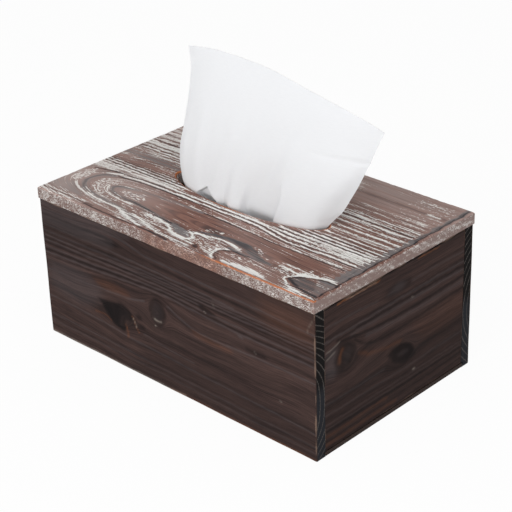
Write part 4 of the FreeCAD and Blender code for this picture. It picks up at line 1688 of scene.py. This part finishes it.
    def surface(self) -> tuple[Array, Array]:
        """Shape the middle of the sheet.

        Returns:
            Places of the grid points, and their shares across and up the flat sheet.
        """
        guide = np.array([row for _, row in self.rows], float)
        crown = follow(self.top_edge, guide[-1, :, 0]) - self.rim
        lift = np.array([share for share, _ in self.rows])
        height = np.where(lift[:, None] > 0, lift[:, None] * crown[None, :], lift[:, None])
        points = np.concatenate((guide, (self.rim + height)[:, :, None]), axis=-1)
        fine = spline(points, self.steps)
        fine = np.swapaxes(spline(np.swapaxes(fine, 0, 1), self.columns), 0, 1)
        across = np.broadcast_to(np.linspace(0.0, 1.0, self.columns), fine.shape[:2])
        up = (fine[:, :, 2] - fine[:, :, 2].min()) / np.ptp(fine[:, :, 2])
        return fine, np.stack((across, up), axis=-1)

    def crumple(self, places: Array, shares: Array) -> Array:
        """Add the soft creases of a folded and pulled sheet.

        Args:
            places: points of the smooth sheet.
            shares: their shares across and up the flat sheet.

        Returns:
            The moved points.
        """
        across, above = shares[..., 0] * self.flat_width, places[..., 2] - self.rim
        made = places.copy()
        fan = across * (1.0 - self.fan_spread * np.clip(above / self.fan_height, 0.0, 1.0))
        soft = ripple(self.seed, self.fold_lengths, fan + self.fold_slant * above)
        shown = rise(above, *self.fold_start) * rise(above, *self.fold_end)
        made[..., 1] += self.fold_depth * soft * shown
        for crease in self.creases:
            made[..., 1] += crease.press(across, above)
        arch = np.interp(places[..., 0], *np.array(self.pleat, float).T)
        front = across < self.flat_width / 2
        opened = rise(arch - np.maximum(above, 0.0), 0.0, self.pleat_turn)
        made[..., 1] += self.pleat_depth * opened * front
        return made

    def build(self, finish: Material) -> Object:
        """Build the tissue.

        Args:
            finish: material of the tissue.

        Returns:
            The finished sheet.
        """
        places, shares = self.surface()
        places = self.crumple(places, shares)
        rows, columns = places.shape[:2]
        numbers = np.arange(rows * columns).reshape(rows, columns)
        sheet = add_object(self.name, places.reshape(-1, 3), quads(numbers.T))
        flat = np.concatenate((shares, np.zeros_like(shares[..., :1])), axis=-1).reshape(-1, 3)
        flat = flat * np.array((self.flat_width, self.flat_length, 0.0)) * MM
        paint(sheet, flat=flat)
        solid = sheet.modifiers.new("ply", "SOLIDIFY")
        solid.thickness = self.thickness * MM
        solid.offset = 0.0
        settle(sheet)
        sheet.data.materials.clear()
        sheet.data.materials.append(finish)
        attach(sheet, "tissue")
        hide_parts("tissue_sheet")
        return sheet


# Hardware that stays as in the CAD model


@dataclass(frozen=True)
class KeptNodes:
    """CAD nodes whose shape is right, and the finish that they get."""

    nodes: tuple[str, ...]

    def dress(self, finish: Material) -> None:
        """Give every node the finish.

        Args:
            finish: material of the nodes.
        """
        for node in self.nodes:
            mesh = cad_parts[node].data
            mesh.materials.clear()
            mesh.materials.append(finish)


# Studio


@dataclass(frozen=True)
class SoftBox:
    """A square lamp with a soft face: its place, what it points at, its side and its power in watts."""

    name: str
    place: tuple[float, float, float]
    target: tuple[float, float, float]
    side: float
    power: float

    def hang(self) -> None:
        """Hang the lamp."""
        lamp = bpy.data.lights.new(self.name, "AREA")
        lamp.size = self.side
        lamp.energy = self.power
        thing = bpy.data.objects.new(self.name, lamp)
        thing.location = self.place
        aim = Vector(self.target) - Vector(self.place)
        thing.rotation_euler = aim.to_track_quat("-Z", "Y").to_euler()
        bpy.context.scene.collection.objects.link(thing)


@dataclass(frozen=True)
class Studio:
    """White sweep, soft light and the camera at the photograph's place."""

    camera_place: tuple[float, float, float] = (686.25, -701.44, 579.15)
    azimuth: float = 44.22
    elevation: float = 27.28
    roll: float = -1.94
    lens: float = 110.69
    sensor: float = 36.0
    clip_start: float = 0.05
    floor_half: float = 6.0
    floor_drop: float = 0.3
    sky: float = 0.38
    lamps: tuple[SoftBox, ...] = (
        SoftBox("key_softbox", (0.8, -1.75, 1.35), (0.0, 0.0, 0.1), 2.4, 32.0),
        SoftBox("side_softbox", (1.9, -0.3, 1.0), (0.0, 0.0, 0.1), 1.6, 7.2),
        SoftBox("fill_softbox", (0.1, -1.75, 0.35), (0.0, 0.0, 0.15), 1.0, 10.6),
    )

    def lay_floor(self) -> None:
        """Lay the paper under the box."""
        half, drop = self.floor_half, -self.floor_drop * MM
        mesh = bpy.data.meshes.new("studio_floor")
        corners = ((-half, -half, drop), (half, -half, drop), (half, half, drop), (-half, half, drop))
        mesh.from_pydata(corners, (), ((0, 1, 2, 3),))
        mesh.materials.append(StudioPaper().build())
        floor = bpy.data.objects.new("studio_floor", mesh)
        bpy.context.scene.collection.objects.link(floor)

    def light(self) -> None:
        """Light the box from all round, and a little more from the lamps."""
        world = bpy.data.worlds.new("studio")
        bpy.context.scene.world = world
        world.use_nodes = True
        tree = world.node_tree
        tree.nodes.clear()
        seen = seen_directly(tree)
        strength = add_node(tree, RANGE, {0: seen, 1: 0.0, 2: 1.0, 3: self.sky, 4: 1.0})
        sky = add_node(tree, "ShaderNodeBackground", {"Color": WHITE, "Strength": strength})
        add_node(tree, "ShaderNodeOutputWorld", {"Surface": sky})
        for lamp in self.lamps:
            lamp.hang()

    def place_camera(self) -> None:
        """Put the camera where the photograph was taken from."""
        angles = (self.azimuth, self.elevation, self.roll)
        turn, rise_angle, roll = (math.radians(angle) for angle in angles)
        back = Vector((
            math.sin(turn) * math.cos(rise_angle),
            -math.cos(turn) * math.cos(rise_angle),
            math.sin(rise_angle),
        ))
        level = Vector((math.cos(turn), math.sin(turn), 0.0))
        up = back.cross(level)
        right = level * math.cos(roll) + up * math.sin(roll)
        top = back.cross(right)
        view = bpy.data.cameras.new("camera")
        view.lens = self.lens
        view.sensor_width = self.sensor
        view.clip_start = self.clip_start
        camera = bpy.data.objects.new("camera", view)
        rotation = Matrix((right, top, back)).transposed().to_4x4()
        camera.matrix_world = Matrix.Translation(Vector(self.camera_place) * MM) @ rotation
        bpy.context.scene.collection.objects.link(camera)
        bpy.context.scene.camera = camera

    def build(self) -> None:
        """Set up the floor, the light, the camera and plain colours."""
        bpy.context.scene.view_settings.view_transform = "Standard"
        self.lay_floor()
        self.light()
        self.place_camera()


# Figure of the visible walls: places along the board and levels above the floor

FRONT_FIGURE = (
    patch(CHAR, 0.3, 12.0, (-25, 32), (70, 32), (70, 4), (-25, 4)),
    patch(CHAR, 0.3, 6.0, (-62, 100), (-15, 100), (-15, 88), (-62, 88)),
    patch(ASH, 0.4, 3.0, (-134, 101), (-62, 101), (-62, 91), (-134, 91)),
    # Painted shade: a darker band along the top of the wall, under the lid's edge
    patch(CHAR, 0.3, 3.0, (-50, 111), (134, 111), (134, 102), (-40, 101)),
    patch(CHAR, 0.28, 9.0, (-30, 26), (60, 24), (134, 22), (134, -6), (-30, -6)),
    patch(ASH, 0.3, 3.0, (-132, 109), (-45, 109), (-42, 104), (-70, 103), (-132, 103)),
    patch(CHAR, 0.4, 3.0, (-132, 96), (-80, 97), (-42, 96), (-40, 85), (-90, 83), (-132, 83)),
    trail(CHAR, 0.6, 1.6, (-130, 97), (-60, 98.4), (-45, 96.5), (-30, 94.3), (0, 93.2), (50, 92),
          (130, 90)),
    patch(CHAR, 0.85, 2.0, (-72, 95), (-52, 98), (-44, 95.5), (-54, 93.5)),
    trail(CHAR, 0.7, 0.8, (-130, 87), (-90, 87), (-40, 87.5), (0, 87), (40, 86.8)),
    trail(CHAR, 0.75, 0.7, (-130, 78.2), (-80, 79), (-40, 80.2), (0, 80.3), (40, 79.5), (130, 79)),
    trail(CHAR, 0.65, 0.7, (-130, 74.4), (-80, 75.2), (-40, 77.2), (0, 77.8), (30, 77)),
    trail(CHAR, 0.7, 0.8, (-130, 69), (-80, 71), (-45, 73.6), (0, 75), (30, 73.5), (70, 72),
          (130, 72.5)),
    trail(CHAR, 0.6, 0.6, (-130, 64.2), (-80, 67), (-50, 69.6), (-25, 71.5), (10, 71)),
    trail(CHAR, 0.6, 0.5, (-60, 84), (0, 84.8), (60, 84.7), (130, 85)),
    trail(CHAR, 0.55, 0.5, (-30, 82.6), (40, 82.3), (130, 82.2)),
    patch(CHAR, 0.5, 2.0, (70, 63), (84, 63.5), (88, 60), (72, 59.5)),
    trail(CHAR, 0.45, 0.8, (-2, 64), (10, 59.5), (22, 55.6), (45, 54.6)),
    trail(ASH, 0.4, 0.8, (-130, 101.5), (-80, 102), (-55, 102.8), (-44, 102), (-33, 99.2), (-20, 97.2),
          (10, 96.6), (40, 95.3), (70, 94.5), (130, 93)),
    trail(ASH, 0.4, 0.7, (-130, 89), (-100, 89.3), (-70, 89.8), (-40, 89.5), (0, 88.6), (40, 88),
          (60, 87)),
    trail(ASH, 0.35, 0.7, (-130, 84.2), (-90, 84.6), (-50, 85.4), (-10, 85.9), (30, 85.8), (130, 86.2)),
    trail(ASH, 0.35, 0.5, (-60, 82.6), (-20, 83.7), (20, 83.6), (60, 83.4), (130, 83.6)),
    trail(ASH, 0.38, 0.6, (-130, 80.4), (-90, 80.6), (-50, 81.6), (0, 81.7), (40, 81), (130, 80.8)),
    trail(ASH, 0.38, 0.6, (-130, 76.4), (-80, 77.2), (-40, 78.6), (0, 79), (30, 78.4)),
    trail(ASH, 0.35, 0.7, (-130, 71.2), (-80, 73), (-40, 75.4), (0, 76.4), (40, 74.8), (130, 74.8)),
    trail(ASH, 0.4, 0.7, (-130, 66.5), (-80, 69), (-45, 71.5), (-10, 73.4), (20, 72.4), (60, 70.3),
          (130, 70.2)),
    trail(ASH, 0.4, 0.8, (-130, 53), (-90, 55), (-60, 57), (-40, 58.6), (-26, 62)),
    trail(ASH, 0.4, 0.7, (-2, 66), (8, 61.3), (20, 57.6), (40, 56.4), (60, 57), (85, 58), (130, 58)),
    trail(ASH, 0.35, 0.7, (-130, 31), (-95, 30.2), (-60, 28.6), (-45, 26.6), (0, 25), (60, 23),
          (130, 21)),
    trail(ASH, 0.3, 0.6, (-28, 35), (0, 32), (20, 31)),
    trail(ASH, 0.25, 0.8, (-130, 16), (-60, 15.5), (0, 13.6), (60, 12.5), (130, 10.5)),
    trail(ASH, 0.22, 0.7, (-130, 10), (-60, 9.6), (0, 9), (130, 6)),
    patch(ASH, 0.28, 7.0, (-125, 60), (-95, 64), (-70, 52), (-90, 36), (-125, 40)),
    patch(BARE, 0.14, 3.0, (-78, 62), (-60, 64.5), (-42, 62.5), (-45, 58), (-70, 57.5)),
    patch(BARE, 0.16, 2.5, (20, 57), (38, 55.6), (56, 55), (54, 52), (26, 53)),
    patch(BARE, 0.11, 10.0, (85, 104), (125, 104), (125, 84), (90, 88)),
    patch(CHAR, 0.9, 1.6, (-75, 47.5), (-68, 48.5), (-58, 49.5), (-50, 51.5), (-42, 49), (-38, 45.5),
          (-35, 42), (-40, 41), (-46, 39), (-47, 33), (-49, 29.5), (-58, 32), (-65, 38), (-70, 43)),
    patch(CHAR, 0.7, 1.4, (-37, 48), (-31, 48.5), (-29, 45.5), (-34, 45)),
    patch(CHAR, 0.6, 1.4, (-34, 42), (-28, 41.5), (-26, 38.5), (-31, 38.5)),
    trail(BARE, 0.42, 0.6, (-46.5, 36), (-45.5, 31), (-44.5, 26)),
    trail(BARE, 0.42, 0.6, (-39, 45), (-36.5, 41.5), (-35.5, 38.5), (-32.5, 34.5)),
    trail(BARE, 0.18, 0.8, (-78, 36), (-68, 36.4), (-62, 34)),
    trail(PALE, 0.35, 0.5, (-38.5, 44), (-36, 40.5), (-35, 38)),
    patch(CHAR, 0.78, 2.0, (-21, 58), (-18.5, 65), (-13, 68.5), (-7, 66), (-4.5, 59), (-6, 51),
          (-11, 47), (-17, 49.5)),
    patch(ASH, 0.26, 2.6, (-18, 59), (-13.5, 65), (-8.5, 62), (-8, 54), (-13, 50.5), (-17, 53)),
    patch(CHAR, 0.72, 2.6, (-19, 59), (-13.5, 66), (-7, 62), (-7, 54), (-12, 49.5), (-18, 52)),
    trail(CHAR, 0.75, 0.8, (-19, 52), (-20.5, 58), (-18, 64.5), (-13, 67.5), (-7.5, 65), (-5.5, 59),
          (-7, 52), (-11, 48.5), (-16, 49.5), (-19, 52)),
    trail(PALE, 0.5, 0.7, (-15.5, 51.8), (-12, 51), (-9, 51.8)),
    trail(PALE, 0.5, 0.5, (-16.4, 46.4), (-15.2, 46.8)),
    patch(CHAR, 0.7, 1.2, (28, 80), (36, 78.5), (45, 75.5), (37, 74), (29, 76)),
    trail(PALE, 0.25, 0.5, (33, 75.2), (34.5, 74.6)),
    trail(PALE, 0.1, 0.6, (41, 84.5), (43, 81.5)),
    patch(ASH, 0.45, 1.0, (62, 69.8), (66.5, 69.4), (68.5, 67.4), (64, 68)),
    trail(PALE, 0.3, 0.5, (100, 34), (101, 33.4)),
    trail(PALE, 0.12, 0.6, (78, 62), (79.5, 60.5)),
    trail(PALE, 0.14, 0.5, (128, 103), (125, 97), (123.5, 93)),
    trail(PALE, 0.4, 0.6, (-131, 1.0), (-70, 0.9), (10, 1.0)),
    trail(BARE, 0.45, 0.6, (-5, 1.0), (60, 1.0), (131, 1.0)),
)
RIGHT_FIGURE = (
    patch(CHAR, 0.35, 8.0, (-72, 38), (72, 42), (72, 5), (-72, 5)),
    trail(CHAR, 0.6, 0.9, (-72, 85.5), (-30, 85.6), (10, 86.2), (72, 86.6)),
    trail(CHAR, 0.8, 1.1, (-60, 80.4), (-40, 81), (-10, 81.6), (30, 81.4), (72, 81)),
    trail(CHAR, 0.75, 1.2, (-58, 78), (-45, 76.6), (-30, 74.6), (-10, 73), (20, 72.4), (50, 72.5),
          (72, 73.5)),
    trail(CHAR, 0.7, 1.1, (-43, 74), (-35, 68), (-28, 64.5), (-20, 62.8), (-5, 62), (20, 62.5),
          (50, 63.8), (72, 64.3)),
    trail(CHAR, 0.5, 0.8, (-72, 40), (-40, 39.8), (-15, 40.5)),
    trail(CHAR, 0.5, 0.9, (24, 40), (50, 38.6), (72, 37.5)),
    trail(CHAR, 0.5, 0.9, (-72, 33.5), (-40, 33), (-8, 33.5), (20, 31), (72, 34)),
    trail(CHAR, 0.6, 0.7, (-72, 24.3), (0, 24), (72, 23.4)),
    trail(CHAR, 0.6, 0.7, (-72, 21), (0, 20.6), (72, 20.4)),
    trail(CHAR, 0.8, 1.4, (-72, 17.6), (0, 17), (72, 17.4)),
    trail(CHAR, 0.75, 0.7, (-72, 10.2), (-20, 10.8), (20, 11.5), (72, 13.2)),
    trail(CHAR, 0.7, 0.6, (-72, 5.0), (0, 5.4), (40, 6.8), (72, 8.6)),
    trail(ASH, 0.28, 0.8, (-72, 93.5), (-45, 93.2), (-20, 91.4)),
    trail(ASH, 0.28, 0.8, (15, 92.4), (40, 92.8), (72, 92)),
    trail(ASH, 0.35, 1.0, (-72, 83.4), (-30, 83.6), (10, 84.2), (72, 84.2)),
    trail(ASH, 0.32, 1.3, (-45, 79), (-20, 78.6), (20, 78.6), (72, 78.2)),
    trail(ASH, 0.3, 1.6, (-30, 71.5), (-5, 69.6), (25, 69), (72, 69.6)),
    trail(ASH, 0.25, 0.9, (-72, 37.6), (-30, 37.6), (-12, 37.8)),
    trail(ASH, 0.25, 0.9, (-72, 30), (0, 29), (72, 30)),
    trail(ASH, 0.25, 0.5, (-72, 22.6), (0, 22.3), (72, 21.9)),
    trail(ASH, 0.22, 0.5, (-72, 19.4), (0, 19), (72, 19)),
    patch(ASH, 0.35, 4.0, (-70, 74), (-62, 76), (-58, 66), (-62, 55), (-70, 58)),
    trail(BARE, 0.14, 1.3, (-72, 13.6), (-50, 13.8), (-10, 14.4)),
    trail(BARE, 0.14, 1.4, (-72, 7.6), (-40, 7.8), (0, 8.2)),
    trail(BARE, 0.16, 1.6, (-38, 62), (-28, 57), (-18, 54.4), (-8, 53), (4, 52)),
    patch(BARE, 0.07, 6.0, (15, 60), (70, 61), (70, 46), (30, 44)),
    patch(CHAR, 0.55, 3.0, (-14, 91.5), (-7, 96), (2, 98.5), (10, 96), (15, 92), (6, 88), (-6, 88)),
    patch(ASH, 0.45, 3.0, (-10, 91.5), (-3, 95), (4, 96.5), (9, 93), (2, 90)),
    patch(CHAR, 0.85, 2.6, (-62, 66), (-58, 74), (-50, 76.5), (-43, 72), (-41, 65), (-46, 58),
          (-54, 56), (-60, 59)),
    patch(ASH, 0.25, 2.5, (-56, 66), (-51, 72), (-46, 67), (-50, 60)),
    trail(BARE, 0.3, 1.6, (-58, 63.5), (-57, 68), (-54.5, 71.8)),
    patch(CHAR, 0.85, 2.0, (-10, 46), (-4, 49.2), (5, 50), (13, 47), (18, 41.5), (21, 36), (15, 33.2),
          (6, 33), (-2, 37), (-6, 42)),
    patch(ASH, 0.3, 1.6, (0, 43.5), (8, 43.8), (13, 41), (9, 39.5), (2, 40.5)),
    trail(CHAR, 0.9, 1.0, (-6, 46), (0, 47.8), (8, 47.6), (13, 44.5)),
    trail(CHAR, 0.9, 1.3, (-4, 39.5), (2, 38), (9, 36.5), (15, 37)),
    patch(CHAR, 0.6, 1.2, (14, 32), (16, 29.5), (18, 31.5)),
    trail(PALE, 0.25, 0.6, (-69.5, 75.4), (-63, 76.8), (-58, 78.6)),
    trail(PALE, 0.25, 0.7, (-69.5, 70.4), (-62, 73)),
    trail(PALE, 0.45, 0.6, (18, 23.8), (19.4, 23.2)),
    trail(PALE, 0.3, 0.5, (15, 80.4), (17, 79.8)),
    trail(BARE, 1.0, 0.55, (-58, 106), (-45, 105.9), (-18, 106.1)),
    trail(PALE, 0.4, 0.4, (-50, 106), (-38, 105.9), (-22, 106.1)),
    trail(BARE, 0.8, 0.4, (22, 106.1), (34, 106), (44, 106.1)),
    # Painted shadow: a dark line along the top of the wall, where the gap under the lid lies in shade
    trail(CHAR, 1.0, 0.8, (-73, 107.5), (0, 107.5), (73, 107.5)),
)
# Levels between which plain walls get their lines, and how far a grey line lies beside a dark one
PLAIN_LEVELS = (6.0, 104.0)
GREY_BESIDE = 1.7


def plain_figure(seed: int, ends: tuple[float, float], lines: int) -> tuple[Stroke, ...]:
    """Draw the straight figure of a wall without special marks.

    Args:
        seed: fixed seed of the levels and strengths.
        ends: where the lines begin and end.
        lines: how many dark lines to draw; as many grey ones go beside them.

    Returns:
        The strokes.
    """
    draw_from = np.random.default_rng(seed)
    found = []
    for level in np.sort(draw_from.uniform(*PLAIN_LEVELS, lines)):
        slope, bow, share = draw_from.uniform((-2.0, -2.5, 0.4), (2.0, 2.5, 0.85))
        places = np.linspace(*ends, 6)
        swing = np.linspace(-1.0, 1.0, 6)
        dark = tuple(zip(places, level + slope * swing + bow * (1.0 - swing**2)))
        grey = tuple((place, height + GREY_BESIDE) for place, height in dark)
        found.append(trail(CHAR, float(share), float(draw_from.uniform(0.5, 1.4)), *dark))
        found.append(trail(ASH, 0.35, float(draw_from.uniform(0.5, 0.9)), *grey))
    return tuple(found)


def walls() -> list[WallBoard]:
    """List the four wall boards.

    Returns:
        The boards, front and back first.
    """
    groove_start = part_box("left_end_board")[1][Axis.X] / MM
    back_knot = ((66, 51), (75, 48), (76, 42), (68, 37.5), (58, 38), (54, 43), (58, 49))
    left_knot = ((20, 71), (28, 68), (29, 62), (23, 57), (15, 58), (13, 64))
    return [
        WallBoard(
            "front_wall",
            Wall.FRONT,
            ("front_board", "front_fillers"),
            knots=(Knot(-54, 41, 8.0, 1.6), Knot(-12.5, 57.5, 8.5, 1.0), Knot(37, 77, 2.0, 2.5)),
            figure=FRONT_FIGURE,
            seed=11,
            bends=(
                (0.0, ((-130, 0), (130, -2))),
                (28.0, ((-130, 3), (-60, 1), (20, -3.5), (130, -6))),
                (57.0, ((-130, -4), (-90, -2), (-60, 0), (-28, 2), (20, 0), (130, 1))),
                (79.0, ((-130, -2.5), (-40, 0), (0, 0.3), (40, 0), (130, -2))),
                (100.0, ((-130, 0), (-50, 1.5), (-35, -2), (-20, -4.5), (40, -6), (130, -8.5))),
                (109.0, ((-130, 0), (-50, 1), (-35, -1), (-20, -3), (40, -4), (130, -6))),
            ),
            groove_start=groove_start,
        ),
        WallBoard(
            "back_wall",
            Wall.BACK,
            ("back_board", "back_fillers"),
            knots=(Knot(65, 44, 8.0, 1.4),),
            figure=(*plain_figure(12, (-131.0, 131.0), 15), patch(CHAR, 0.9, 1.6, *back_knot)),
            seed=12,
            groove_start=groove_start,
        ),
        WallBoard(
            "left_wall",
            Wall.LEFT,
            ("left_end_board",),
            knots=(Knot(21, 64, 6.5, 1.3),),
            figure=(*plain_figure(13, (-73.0, 73.0), 14), patch(CHAR, 0.85, 1.6, *left_knot)),
            seed=13,
        ),
        WallBoard(
            "right_wall",
            Wall.RIGHT,
            ("right_end_board",),
            knots=(Knot(-51.5, 66, 9.0, 1.0), Knot(5, 41.5, 8.0, 1.5)),
            figure=RIGHT_FIGURE,
            seed=14,
        ),
    ]


def main() -> None:
    """Build the box, its tissue and the studio, and note the sizes."""
    logging.basicConfig(level=logging.INFO, format="%(name)s: %(message)s")
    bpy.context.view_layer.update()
    Studio().build()

    torched = TorchedFir().build()
    for board in walls():
        made = board.build(BrushedRelief(seed=board.seed), torched)
        LOG.info("%s has %d faces", made.name, len(made.data.polygons))
    lid = LidBoard().build(BrushedRelief(sink_depth=0.3, seed=21), WhitewashedFir().build())
    LOG.info("%s has %d faces", lid.name, len(lid.data.polygons))
    tissue = Tissue().build(TissuePaper().build())
    LOG.info("%s has %d faces", tissue.name, len(tissue.data.polygons))

    KeptNodes(("base_panel",)).dress(StainedPlywood().build())
    KeptNodes(("front_brads", "back_brads", "lid_brads")).dress(DrawnSteel().build())
    LOG.info("base panel and brads are dressed")


if __name__ == "__main__":
    main()
